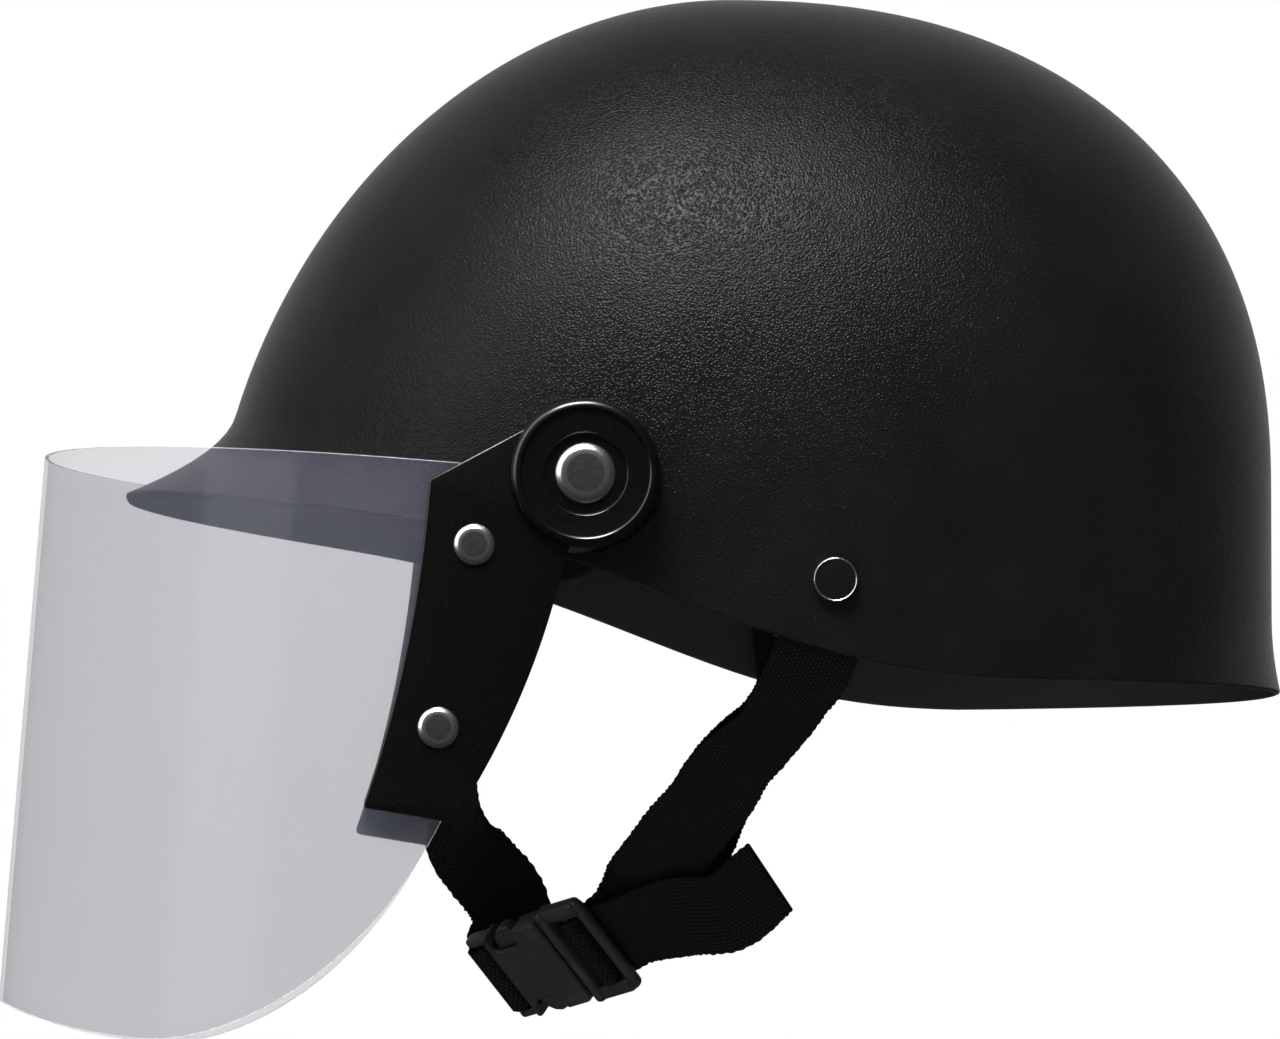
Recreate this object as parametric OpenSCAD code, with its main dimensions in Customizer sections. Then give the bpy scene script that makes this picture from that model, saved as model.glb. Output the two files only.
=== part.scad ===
// Riot helmet with a tilting clear visor and a buckled chin strap, in millimetres.
// Up is +Z, the wearer faces -Y and the wearer's left is +X. Z = 0 is the rim at the nape.

/* [Shell] */
// Half of the shell's width above the ears
shell_half_w = 108; // [100:1:113]
// From the crown line to the forehead
shell_front = 127; // [120:1:132]
// From the crown line to the back of the head
shell_rear = 131; // [122:1:142]
// Height of the crown above the nape rim
shell_top = 168.2; // [155:0.2:185]
// Wall of the moulded shell
shell_wall = 2; // [1.6:0.1:3]
// How far the brim stands out from the forehead
brim_reach = 22; // [12:1:26]
// Height over which the brim sweeps into the forehead
brim_sweep = 19; // [14:1:24]
// How far the nape rim flares out
nape_flare = 2.1; // [0:0.1:4]
// Height of the rim at the nape
rim_nape_z = 0; // [0:0.5:4]
// Height of the rim at the front of the brim
rim_brow_z = 48; // [42:1:52]

/* [Visor] */
// How far the visor's flat sides stand out beyond the widest place of the shell
visor_stand_off = 7.5; // [6.5:0.5:12]
// Thickness of the visor sheet
visor_t = 1; // [0.8:0.1:2]
// From the flat sides to the front of the curve
visor_depth = 92; // [86:1:100]
// Height of the sheet at its middle
visor_mid_h = 131.6; // [110:0.2:150]
// How much lower the sheet hangs beside its middle
visor_side_drop = 6.6; // [0:0.1:12]
// Lean of the lowered visor, bottom forward, in degrees
visor_lean = 4.65; // [2:0.05:8]

/* [Visor arms] */
// Height of the pivot
pivot_z = 46.4; // [42:0.2:49]
// Place of the pivot ahead of the crown line
pivot_ahead = 38.6; // [34:0.2:42]
// Thickness of an arm's plate
arm_t = 3; // [2:0.5:4]
// Radius of the round boss on an arm
boss_r = 17.3; // [15:0.1:19]
// How far the boss stands out from the plate
boss_proud = 2.6; // [2:0.1:4]
// Radius of the recess round the pivot rivet's head
recess_r = 9.6; // [8.5:0.1:11]
// Depth of that recess
recess_depth = 1.6; // [1:0.1:2.2]
// Radius of the raised hub on the shell under a boss
hub_r = 14; // [12:0.5:15]

/* [Rivets] */
// Radius of the pivot rivet's head
pivot_head_r = 7; // [6:0.1:8]
// Radius of the pivot rivet's shank
pivot_shank_r = 3; // [2:0.1:3.6]
// Radius of a visor rivet's head
visor_head_r = 4.75; // [3.8:0.05:5.5]
// Radius of a visor rivet's shank
visor_shank_r = 1.8; // [1.2:0.1:2.4]
// Radius of a strap rivet's head
strap_head_r = 5.1; // [4.5:0.1:6]
// Radius of a strap rivet's shank
strap_shank_r = 2.2; // [1.6:0.1:2.8]
// Height of a rivet's head
head_t = 1.6; // [1:0.1:2.4]
// Thickness of every washer
washer_t = 1; // [0.6:0.1:1.2]

/* [Chin strap] */
// Width of the webbing
web_w = 20; // [16:0.5:21]
// Thickness of the webbing
web_t = 1.4; // [1:0.1:1.8]
// Height of the strap rivets
strap_rivet_z = 22.5; // [20:0.5:25]
// Place of the strap rivets behind the crown line
strap_rivet_y = 19.8; // [17:0.2:24]

/* [Buckle] */
// Thickness of the socket housing
socket_t = 7; // [6.4:0.1:9]
// Width of the socket housing
socket_w = 25; // [24:0.2:28]
// Width of the clip's frame
clip_w = 28; // [26:0.2:30]
// Thickness of the clip's frame
clip_t = 5.4; // [4.6:0.1:6]
// Angle through which a release prong bends in
prong_press = 12; // [8:1:14]

/* [Pads] */
// Thickness of the foam pads
pad_t = 8; // [5:0.5:11]

/* [Hidden] */
$fn = 48;

// Clearances
fit = 0.1;
gap = 0.3;
cut = 1;

// The shell's surface. Three outlines against height: forehead, back of the head and side.
plan_power = 2.2;
front_power = 1.95;
rear_power = 2.3;
side_power = 2.2;
front_base = 20;
rear_base = 50;
side_base = 35;
brim_spread = 68;
nape_sweep = 18;
rim_turn_y = 62;
rim_wave = 0.14;
azimuths = 72;
rows = 26;
row_power = 1.15;
small = 0.02;

function dome(z, base, power) =
    z <= base ? 1 : pow(max(0, 1 - pow((z - base) / (shell_top - base), power)), 1 / power);
function front_at(z) = shell_front * dome(z, front_base, front_power);
function rear_at(z) = shell_rear * dome(z, rear_base, rear_power);
function half_w_at(z) = shell_half_w * dome(z, side_base, side_power);

// Outer face of the shell beside the head at a place that the brim and the nape flare don't reach
function shell_x(y, z) =
    half_w_at(z) * pow(1 - pow(abs(y) / (y < 0 ? front_at(z) : rear_at(z)), plan_power), 1 / plan_power);

function signed_pow(a, p) = sign(a) * pow(abs(a), p);
function plan_y(az, z) =
    -signed_pow(cos(az), 2 / plan_power) * (cos(az) > 0 ? front_at(z) : rear_at(z));
function plan_x(az, z) = signed_pow(sin(az), 2 / plan_power) * half_w_at(z);

// Height of the rim: level at the nape, rising past the ears to the brim
function rim_share(y) = max(0, (rim_turn_y - y) / (rim_turn_y + shell_front));
function rim_curve(u) = u - rim_wave * sin(360 * min(u, 1)) * (1 - min(u, 1));
function rim_z(az) =
    rim_nape_z + (rim_brow_z - rim_nape_z) * rim_curve(rim_share(plan_y(az, 0)));

function flare(az, h) =
    let (a = abs(az > 180 ? az - 360 : az))
    let (brim = a < brim_spread ? brim_reach * pow(cos(90 * a / brim_spread), 2) : 0)
    let (nape = a > 90 ? nape_flare * pow(cos(a), 2) : 0)
    brim * pow(max(0, 1 - h / brim_sweep), 2) + nape * pow(max(0, 1 - h / nape_sweep), 2);

// A point of the outer surface: az runs round from the forehead, s from the rim to the crown
function skin(az, s) =
    let (r0 = rim_z(az))
    let (z = r0 + (shell_top - r0) * sin(90 * s))
    let (x = plan_x(az, z), y = plan_y(az, z))
    let (r = max(norm([x, y]), small))
    let (out = flare(az, z - r0) / r)
    [x * (1 + out), y * (1 + out), z];

function unit(v) = v / max(norm(v), 1e-9);
function skin_normal(az, s) =
    s > 0.995 ? [0, 0, 1] :
    let (d = 0.004)
    let (along = skin(az + 1, s) - skin(az - 1, s))
    let (up = skin(az, min(1, s + d)) - skin(az, max(0, s - d)))
    unit(cross(along, up));

// A point under the outer surface, at a depth measured square to it
function under_skin(az, s, depth) = skin(az, s) - depth * skin_normal(az, s);

function row_s(j) = pow(j / rows, row_power);

module shell_skin() {
    ring = azimuths;
    outer = [for (j = [0:rows - 1]) for (i = [0:ring - 1]) skin(i * 360 / ring, row_s(j))];
    inner = [for (j = [0:rows - 1]) for (i = [0:ring - 1])
        under_skin(i * 360 / ring, row_s(j), shell_wall)];
    first_inner = len(outer);
    tops = 2 * first_inner;
    faces = [
        for (j = [0:rows - 2]) for (i = [0:ring - 1])
            let (a = j * ring + i, b = j * ring + (i + 1) % ring)
            each [[a, b + ring, b], [a, a + ring, b + ring],
                [first_inner + a, first_inner + b, first_inner + b + ring],
                [first_inner + a, first_inner + b + ring, first_inner + a + ring]],
        for (i = [0:ring - 1])
            let (a = i, b = (i + 1) % ring, up = (rows - 1) * ring)
            each [[a, b, first_inner + b], [a, first_inner + b, first_inner + a],
                [up + a, tops, up + b],
                [first_inner + up + a, first_inner + up + b, tops + 1]]
    ];
    polyhedron(
        points = concat(outer, inner, [[0, 0, shell_top], [0, 0, shell_top - shell_wall]]),
        faces = faces
    );
}

// Places along X at the pivot, from the head outwards
pivot_y = -pivot_ahead;
boss_draft = 0.8;
hub_out_x = shell_x(pivot_y + boss_r + boss_draft, side_base) + fit;
hub_in_x = shell_x(pivot_y - hub_r, side_base) - shell_wall / 2;
boss_in_x = hub_out_x + washer_t + fit;
visor_half_w = shell_half_w + visor_stand_off;
arm_in_x = visor_half_w;
arm_out_x = arm_in_x + arm_t;
boss_out_x = arm_out_x + boss_proud;
seat_x = boss_out_x - recess_depth;
pivot_tail_r = 4.6;
pivot_tail_t = 1.4;
friction_r = 11;
pivot_washer_r = 7;

// Places along X at a strap rivet
strap_hub_r = strap_head_r + 0.4;
strap_boss_r = 7;
strap_swing_room = 16;
strap_seat_out_x = shell_x(strap_rivet_y - strap_hub_r, strap_rivet_z) + fit;
strap_seat_in_x = shell_x(strap_rivet_y + strap_swing_room, strap_rivet_z) - shell_wall - 2 * gap;
strap_mid_x = shell_x(strap_rivet_y + strap_hub_r, strap_rivet_z) - shell_wall / 2;
strap_x = strap_seat_in_x - fit - web_t / 2;
strap_washer_x = strap_x - web_t / 2 - fit;
strap_washer_r = 5.6;
strap_tail_r = 3.4;
strap_tail_t = 1.2;

// Turns a shape that stands on Z to stand outwards on +X
module outward(x, y, z) {
    translate([x, y, z]) rotate([0, 90, 0]) children();
}
module both_sides() {
    children();
    mirror([1, 0, 0]) children();
}

module shell_boss(r, x0, x1, y, z) {
    outward(x0, y, z) cylinder(r = r, h = x1 - x0);
}
module bore(r, x0, x1, y, z) {
    outward(x0 - cut, y, z) cylinder(r = r, h = x1 - x0 + 2 * cut);
}

module shell() {
    color("#232426") difference() {
        union() {
            shell_skin();
            both_sides() {
                shell_boss(hub_r, hub_in_x, hub_out_x, pivot_y, pivot_z);
                shell_boss(strap_hub_r, strap_mid_x, strap_seat_out_x, strap_rivet_y, strap_rivet_z);
                shell_boss(strap_boss_r, strap_seat_in_x, strap_mid_x, strap_rivet_y, strap_rivet_z);
            }
        }
        both_sides() {
            bore(pivot_shank_r + fit, hub_in_x, hub_out_x, pivot_y, pivot_z);
            bore(strap_shank_r + fit, strap_seat_in_x, strap_seat_out_x, strap_rivet_y, strap_rivet_z);
        }
    }
}

// A foam pad glued under the shell, crowned in the middle and thinned to its edges
pad_edge_t = 2.5;
pad_cols = 14;
pad_rows = 6;
function crown_share(u) = 1 - pow(abs(2 * u - 1), 3);
module pad(az0, az1, s0, s1) {
    per = pad_cols + 1;
    function pad_point(i, j, thick) =
        under_skin(az0 + (az1 - az0) * i / pad_cols, s0 + (s1 - s0) * j / pad_rows,
            shell_wall + gap + thick);
    function pad_thick(i, j) =
        pad_edge_t + (pad_t - pad_edge_t) * crown_share(i / pad_cols) * crown_share(j / pad_rows);
    face_out = [for (j = [0:pad_rows]) for (i = [0:pad_cols]) pad_point(i, j, 0)];
    face_in = [for (j = [0:pad_rows]) for (i = [0:pad_cols]) pad_point(i, j, pad_thick(i, j))];
    n = len(face_out);
    last = pad_rows * per;
    faces = [
        for (j = [0:pad_rows - 1]) for (i = [0:pad_cols - 1])
            let (a = j * per + i, b = a + 1, c = a + per, d = c + 1)
            each [[a, d, b], [a, c, d], [n + a, n + b, n + d], [n + a, n + d, n + c]],
        for (i = [0:pad_cols - 1])
            each [[i, i + 1, n + i + 1], [i, n + i + 1, n + i],
                [last + i, n + last + i + 1, last + i + 1], [last + i, n + last + i, n + last + i + 1]],
        for (j = [0:pad_rows - 1])
            let (a = j * per, c = a + per, e = a + pad_cols, f = c + pad_cols)
            each [[a, n + a, n + c], [a, n + c, c], [e, n + f, n + e], [e, f, n + f]]
    ];
    color("#2b2b2d") polyhedron(points = concat(face_out, face_in), faces = faces);
}

crown_pad_s = 0.8;
crown_pad_ring = 24;
crown_pad_rows = 4;
module crown_pad() {
    function disc_s(j) = 1 - (1 - crown_pad_s) * (1 - j / crown_pad_rows);
    function disc_t(j) = pad_edge_t + (pad_t - pad_edge_t) * (1 - pow(1 - j / crown_pad_rows, 3));
    ring = crown_pad_ring;
    deep = shell_wall + gap;
    face_out = [for (j = [0:crown_pad_rows - 1]) for (i = [0:ring - 1])
        under_skin(i * 360 / ring, disc_s(j), deep)];
    face_in = [for (j = [0:crown_pad_rows - 1]) for (i = [0:ring - 1])
        under_skin(i * 360 / ring, disc_s(j), deep + disc_t(j))];
    n = len(face_out);
    up = (crown_pad_rows - 1) * ring;
    faces = [
        for (j = [0:crown_pad_rows - 2]) for (i = [0:ring - 1])
            let (a = j * ring + i, b = j * ring + (i + 1) % ring)
            each [[a, b + ring, b], [a, a + ring, b + ring],
                [n + a, n + b, n + b + ring], [n + a, n + b + ring, n + a + ring]],
        for (i = [0:ring - 1])
            let (a = i, b = (i + 1) % ring)
            each [[a, b, n + b], [a, n + b, n + a],
                [up + a, 2 * n, up + b], [n + up + a, n + up + b, 2 * n + 1]]
    ];
    color("#2b2b2d") polyhedron(
        points = concat(face_out, face_in, [[0, 0, shell_top - deep], [0, 0, shell_top - deep - pad_t]]),
        faces = faces
    );
}
module brow_pad() { pad(-46, 46, 0.12, 0.27); }
module rear_pad() { pad(146, 214, 0.12, 0.3); }
module side_pad_left() { pad(68, 116, 0.24, 0.42); }
module side_pad_right() { pad(-116, -68, 0.24, 0.42); }

// A rivet with a shallow domed cap, a shank and a clinched tail. Its cap rests at height 0, and
// its tail is clinched at a depth below.
module rivet(head_r, shank_r, depth, tail_r, tail_t) {
    edge = head_t * 0.45;
    crown = head_t * 0.82;
    rotate_extrude() polygon([
        [0, -depth - tail_t], [tail_r * 0.7, -depth - tail_t], [tail_r, -depth - tail_t * 0.55],
        [tail_r, -depth], [shank_r, -depth], [shank_r, 0], [head_r, 0], [head_r, edge],
        [head_r * 0.965, crown * 0.9], [head_r * 0.88, crown], [head_r * 0.45, head_t], [0, head_t]
    ]);
}
module washer(outer_r, bore_r, thick) {
    rotate_extrude() translate([bore_r, 0]) square([outer_r - bore_r, thick]);
}

module pivot_rivet_left() {
    color("#b9b7b0") outward(seat_x + fit, pivot_y, pivot_z)
        rivet(pivot_head_r, pivot_shank_r, seat_x + fit - hub_in_x + washer_t + 2 * fit, pivot_tail_r, pivot_tail_t);
}
module pivot_washer_left() {
    color("#a5a39c") outward(hub_in_x - fit - washer_t, pivot_y, pivot_z)
        washer(pivot_washer_r, pivot_shank_r + fit, washer_t);
}
module friction_washer_left() {
    color("#5a5a5c") outward(hub_out_x + fit / 2, pivot_y, pivot_z)
        washer(friction_r, pivot_shank_r + fit, washer_t);
}
module strap_rivet_left() {
    color("#8d8c88") outward(strap_seat_out_x + fit, strap_rivet_y, strap_rivet_z)
        rivet(strap_head_r, strap_shank_r, strap_seat_out_x + fit - strap_washer_x + washer_t + fit,
            strap_tail_r, strap_tail_t);
}
module strap_washer_left() {
    color("#a5a39c") outward(strap_washer_x - washer_t, strap_rivet_y, strap_rivet_z)
        washer(strap_washer_r, strap_shank_r + fit, washer_t);
}
module pivot_rivet_right() { mirror([1, 0, 0]) pivot_rivet_left(); }
module pivot_washer_right() { mirror([1, 0, 0]) pivot_washer_left(); }
module friction_washer_right() { mirror([1, 0, 0]) friction_washer_left(); }
module strap_rivet_right() { mirror([1, 0, 0]) strap_rivet_left(); }
module strap_washer_right() { mirror([1, 0, 0]) strap_washer_left(); }

// The visor is a sheet bent round an axis that leans by visor_lean. Its flat sides meet the arms.
sheet_ahead = 35.6;
sheet_rise = 3.15;
sheet_y = pivot_y - sheet_ahead;
sheet_z = pivot_z + sheet_rise;
sheet_back = 16.7;
sheet_low_h = 40;
corner_start = 101.8;
corner_run = 80;
corner_fall = 103;
arc_steps = 30;

function along_sheet(forward, down) =
    [sheet_y - forward * cos(visor_lean) - down * sin(visor_lean),
        sheet_z + forward * sin(visor_lean) - down * cos(visor_lean)];
function sheet_bottom(s) =
    s < corner_start ? visor_mid_h + visor_side_drop * pow(sin(90 * s / corner_start), 2) :
    visor_mid_h + visor_side_drop
        - corner_fall * (1 - sqrt(max(0, 1 - pow((s - corner_start) / corner_run, 2))));
function arc_x(t, inset) = (visor_half_w - inset) * sin(t);
function arc_forward(t, inset) = (visor_depth - inset) * cos(t);
function arc_length(t, n = 24) =
    t <= 0 ? 0 : let (d = t / n) d * PI / 180 * (
        [for (k = [0:n - 1]) norm([visor_half_w * cos((k + 0.5) * d), visor_depth * sin((k + 0.5) * d)])]
        * [for (k = [0:n - 1]) 1]);

// Stations from the middle to the back of the left side: angle on the curve, then distance behind it
back_steps = 6;
stations = [
    for (k = [0:arc_steps]) [90 * k / arc_steps, 0],
    for (k = [1:back_steps]) [90, sheet_back * k / back_steps]
];
function station_s(q) = arc_length(q[0]) + q[1];
function sheet_point(side, q, inset, down) =
    let (p = along_sheet(arc_forward(q[0], inset) - q[1], down))
    [side * arc_x(q[0], inset), p[0], p[1]];

module visor_sheet() {
    half = len(stations);
    order = [for (k = [half - 1:-1:1]) [-1, stations[k]], for (k = [0:half - 1]) [1, stations[k]]];
    columns = [for (q = order)
        let (low = max(sheet_low_h, sheet_bottom(station_s(q[1]))))
        [sheet_point(q[0], q[1], 0, 0), sheet_point(q[0], q[1], 0, low),
            sheet_point(q[0], q[1], visor_t, low), sheet_point(q[0], q[1], visor_t, 0)]];
    n = len(columns);
    points = [for (c = columns) each c];
    faces = [
        for (i = [0:n - 2]) for (k = [0:3])
            let (a = 4 * i + k, b = 4 * i + (k + 1) % 4)
            each [[a, b, b + 4], [a, b + 4, a + 4]],
        [0, 3, 2], [0, 2, 1],
        [4 * n - 4, 4 * n - 3, 4 * n - 2], [4 * n - 4, 4 * n - 2, 4 * n - 1]
    ];
    polyhedron(points = points, faces = faces);
}

// The two rivets that hold the sheet to each arm, from the pivot
visor_rivet_places = [[-25.6, -16.5], [-33.9, -58.8]];
module at_visor_rivets(x) {
    both_sides() for (p = visor_rivet_places) outward(x, pivot_y + p[0], pivot_z + p[1]) children();
}

module visor() {
    color("#c5c5cd", 0.5) difference() {
        visor_sheet();
        at_visor_rivets(arm_in_x - 3 * visor_t) cylinder(r = visor_shank_r + fit, h = 6 * visor_t);
    }
}

// The arm's plate, seen from the wearer's left, from the pivot: a curved front and back edge
arm_top = [-36, -1.4];
arm_tangent = [-12, 11.4];
arm_front_mid = [-39.1, -42];
arm_toe = [-51.4, -77.2];
arm_heel = [-26, -81.4];
arm_back_low = [-25.2, -72];
arm_back_mid = [-12.4, -50];
arm_back_top = [-6.2, -26];
arm_notch = [-4, -18];
arm_neck = [-1.5, -12];
edge_steps = 8;
toe_round = 3;
function curve(a, b, c, n) =
    [for (k = [0:n]) let (t = k / n) (1 - t) * (1 - t) * a + 2 * t * (1 - t) * b + t * t * c];

module arm_plate_2d() {
    offset(r = toe_round) offset(delta = -toe_round) polygon(concat(
        [arm_neck, arm_tangent],
        curve(arm_top, arm_front_mid, arm_toe, edge_steps),
        curve(arm_heel, (arm_heel + arm_back_low) / 2 + [2, 0], arm_back_low, 3),
        curve(arm_back_low, arm_back_mid, arm_back_top, edge_steps),
        [arm_notch]
    ));
}

// The boss: a cup with a rounded rim, a step inside it and a recess for the rivet's head
boss_wall = 2.2;
boss_web = 2.4;
boss_tube_r = 6.2;
boss_step_r = 14.5;
boss_round = 1.2;
module boss_cup() {
    top = boss_out_x - boss_in_x;
    floor_top = top - recess_depth;
    floor_low = floor_top - boss_web;
    rotate_extrude($fn = 96) polygon(concat(
        [[pivot_shank_r + fit, 0], [boss_tube_r, 0], [boss_tube_r, floor_low],
            [boss_r - boss_wall, floor_low], [boss_r + boss_draft - boss_wall, 0], [boss_r + boss_draft, 0]],
        [for (k = [0:5]) [boss_r - boss_round + boss_round * cos(18 * k), top - boss_round + boss_round * sin(18 * k)]],
        [[boss_step_r + 1, top], [boss_step_r + 0.5, top - 0.7], [boss_step_r, top - 0.8],
            [recess_r + 0.6, top - 0.3], [recess_r, top - 0.7], [recess_r, floor_top],
            [pivot_shank_r + fit, floor_top]]
    ));
}

module visor_arm_left() {
    color("#0f1011") difference() {
        union() {
            translate([arm_in_x, pivot_y, pivot_z]) difference() {
                rotate([90, 0, 90]) linear_extrude(height = arm_t) arm_plate_2d();
                outward(-cut, 0, 0) cylinder(r = boss_r - boss_wall / 2, h = arm_t + 2 * cut);
            }
            outward(boss_in_x, pivot_y, pivot_z) boss_cup();
        }
        for (p = visor_rivet_places)
            outward(arm_in_x - cut, pivot_y + p[0], pivot_z + p[1])
                cylinder(r = visor_shank_r + fit, h = arm_t + 2 * cut);
    }
}
module visor_arm_right() { mirror([1, 0, 0]) visor_arm_left(); }

sheet_in_x = visor_half_w - visor_t;
visor_washer_r = 4.2;
visor_tail_r = 2.9;
visor_tail_t = 0.9;
module visor_rivets() {
    color("#b9b7b0") at_visor_rivets(arm_out_x + fit)
        rivet(visor_head_r, visor_shank_r, arm_t + visor_t + washer_t + 3 * fit, visor_tail_r, visor_tail_t);
}
module visor_rivet_washers() {
    color("#a5a39c") at_visor_rivets(sheet_in_x - fit - washer_t)
        washer(visor_washer_r, visor_shank_r + fit, washer_t);
}

// The buckle's own frame: u runs from the socket to the clip, v up across it and n out of its face
buckle_at = [12, -44, -64.5];
buckle_u = unit([0.70, 0.68, 0.20]);
buckle_v = unit(cross([0.61, -0.44, -0.65], buckle_u));
buckle_n = cross(buckle_u, buckle_v);
function in_buckle(u, n, v = 0) = buckle_at + u * buckle_u + v * buckle_v + n * buckle_n;
module buckle_frame() {
    multmatrix([
        [buckle_u[0], buckle_v[0], buckle_n[0], buckle_at[0]],
        [buckle_u[1], buckle_v[1], buckle_n[1], buckle_at[1]],
        [buckle_u[2], buckle_v[2], buckle_n[2], buckle_at[2]]
    ]) children();
}
module slab(u0, u1, w, t) {
    translate([u0, -w / 2, -t / 2]) cube([u1 - u0, w, t]);
}
// A slab whose four upright corners are rounded
module round_slab(u0, u1, w, t, r) {
    translate([0, 0, -t / 2]) linear_extrude(height = t) union() {
        translate([u0 + r, -w / 2]) square([u1 - u0 - 2 * r, w]);
        translate([u0, -w / 2 + r]) square([u1 - u0, w - 2 * r]);
        for (u = [u0 + r, u1 - r]) for (v = [-w / 2 + r, w / 2 - r]) translate([u, v]) circle(r = r);
    }
}

// Along u: back wall, cavity, windows, collar and mouth of the socket
socket_back = -12;
cavity_back = -10.8;
window_front = -1.5;
socket_mouth = 6.4;
cavity_t = 4.4;
collar_open = 19.8;
waist_w = 16;
bar_r = 1.5;
wrap_r = bar_r + gap + web_t / 2 + 0.4;
socket_bar_u = socket_back - web_t - wrap_r - 0.4;
socket_bar_n = -0.3;
cheek_w = 2;
cheek_t = 4.2;

module buckle_socket() {
    color("#4a4a48") buckle_frame() union() {
        difference() {
            round_slab(socket_back, socket_mouth, socket_w, socket_t, 1.6);
            slab(cavity_back, socket_mouth + cut, collar_open, cavity_t);
            difference() {
                round_slab(cavity_back + 0.3, window_front, socket_w + 6, socket_t + 2 * cut, 3);
                slab(cavity_back, window_front + cut, waist_w, socket_t + 4 * cut);
            }
            slab(cavity_back + 0.3, window_front, waist_w + 1, cavity_t);
        }
        for (side = [-1, 1]) {
            translate([socket_bar_u, side * (web_w / 2 + gap + cheek_w / 2) - cheek_w / 2, -cheek_t / 2])
                cube([socket_back - socket_bar_u + 0.5, cheek_w, cheek_t]);
            translate([socket_bar_u, side * (web_w / 2 + gap + cheek_w / 2) + cheek_w / 2, 0])
                rotate([90, 0, 0]) cylinder(r = cheek_t / 2, h = cheek_w);
        }
        translate([socket_bar_u, web_w / 2 + gap + cheek_w, socket_bar_n]) rotate([90, 0, 0])
            cylinder(r = bar_r, h = web_w + 2 * gap + 2 * cheek_w);
    }
}

// Along u: the clip's shoulder, its two slots with a middle bar between, its end bar, and its
// guide inside the socket
shoulder_u = socket_mouth + gap;
slot_u = shoulder_u + 2.9;
slot_room = web_t + 1.6;
clip_mid_r = 1.2;
clip_mid_u = slot_u + slot_room + clip_mid_r;
clip_bar_r = 1.4;
clip_bar_u = clip_mid_u + clip_mid_r + slot_room + clip_bar_r;
guide_tip = -8;
guide_w = 4.4;
guide_t = 2.6;
clip_wrap_r = clip_mid_r + gap + web_t / 2 + 0.1;
tail_under_n = -(clip_bar_r + gap + web_t / 2 + 0.1);
strap_under_n = tail_under_n - web_t - gap;
rail_w = (clip_w - web_w) / 2 - gap;
rail_t = clip_t - 1;
prong_pin_u = shoulder_u - 1.8;
prong_pin_v = 7.4;
prong_pin_r = 1.5;

module buckle_clip() {
    color("#3b3b3a") buckle_frame() union() {
        round_slab(shoulder_u, slot_u, clip_w, clip_t, 1.4);
        for (side = [-1, 1])
            translate([slot_u - 2, side * (clip_w - rail_w) / 2 - rail_w / 2, -rail_t / 2])
                cube([clip_bar_u - slot_u + 2, rail_w, rail_t]);
        translate([clip_mid_u, clip_w / 2 - rail_w / 2, 0]) rotate([90, 0, 0])
            cylinder(r = clip_mid_r, h = clip_w - rail_w);
        translate([clip_bar_u, clip_w / 2, 0]) rotate([90, 0, 0]) cylinder(r = clip_bar_r, h = clip_w);
        slab(guide_tip, shoulder_u + cut, guide_w, guide_t);
    }
}

// A release prong: a round root, a thin leg through the collar and a barbed button in the window
prong_t = 3.6;
leg_out = collar_open / 2 - 0.4;
leg_in = leg_out - 2.6;
barb_out = leg_out + 1.7;
button_out = socket_w / 2 + 0.9;
module release_prong() {
    barb_u = window_front - gap;
    union() {
        translate([prong_pin_u, prong_pin_v, -prong_t / 2]) cylinder(r = prong_pin_r, h = prong_t);
        translate([0, 0, -prong_t / 2]) linear_extrude(height = prong_t) polygon([
            [prong_pin_u, prong_pin_v - prong_pin_r], [prong_pin_u, prong_pin_v + prong_pin_r],
            [prong_pin_u - 2, leg_out], [barb_u, leg_out], [barb_u, barb_out],
            [barb_u - 1.6, button_out - 0.4], [barb_u - 3.4, button_out], [barb_u - 5.4, button_out - 0.6],
            [barb_u - 7.2, button_out - 2.4], [cavity_back + 1, leg_in + 1.4], [cavity_back + 1, leg_in],
            [barb_u - 4, leg_in + 1], [barb_u, leg_in], [prong_pin_u - 2.5, leg_in - 0.8]
        ]);
    }
}
module release_prong_upper() { color("#454543") buckle_frame() release_prong(); }
module release_prong_lower() { color("#454543") buckle_frame() mirror([0, 1, 0]) release_prong(); }

// Webbing: a flat strip swept through places, each with the direction of its width.
// across(a) is a width direction at an angle a to the level, seen from the wearer's left.
function across(a, x = 0) = unit([x, cos(a), sin(a)]);
web_steps = 4;
function stop(list, i) =
    let (n = len(list))
    i < 0 ? 2 * list[0] - list[1] :
    i >= n ? 2 * list[n - 1] - list[n - 2] : list[i];
function lift(a, b, ta, tb, t) = ((tb - t) * a + (t - ta) * b) / (tb - ta);
// A smooth curve's value between stops i and i + 1, timed by the distances between the places
function between(values, places, i, share) =
    let (p = [for (k = [-1:2]) stop(places, i + k)])
    let (v = [for (k = [-1:2]) stop(values, i + k)])
    let (d = [for (k = [0:2]) sqrt(norm(p[k + 1] - p[k]))])
    let (t = d[0] + share * d[1], t2 = d[0] + d[1], t3 = d[0] + d[1] + d[2])
    let (a = lift(v[0], v[1], 0, d[0], t), b = lift(v[1], v[2], d[0], t2, t), c = lift(v[2], v[3], t2, t3, t))
    lift(lift(a, b, 0, t2, t), lift(b, c, d[0], t3, t), d[0], t2, t);
function smooth(values, places, steps) =
    [for (i = [0:len(values) - 2]) for (k = [0:steps - 1]) between(values, places, i, k / steps),
        values[len(values) - 1]];

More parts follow.
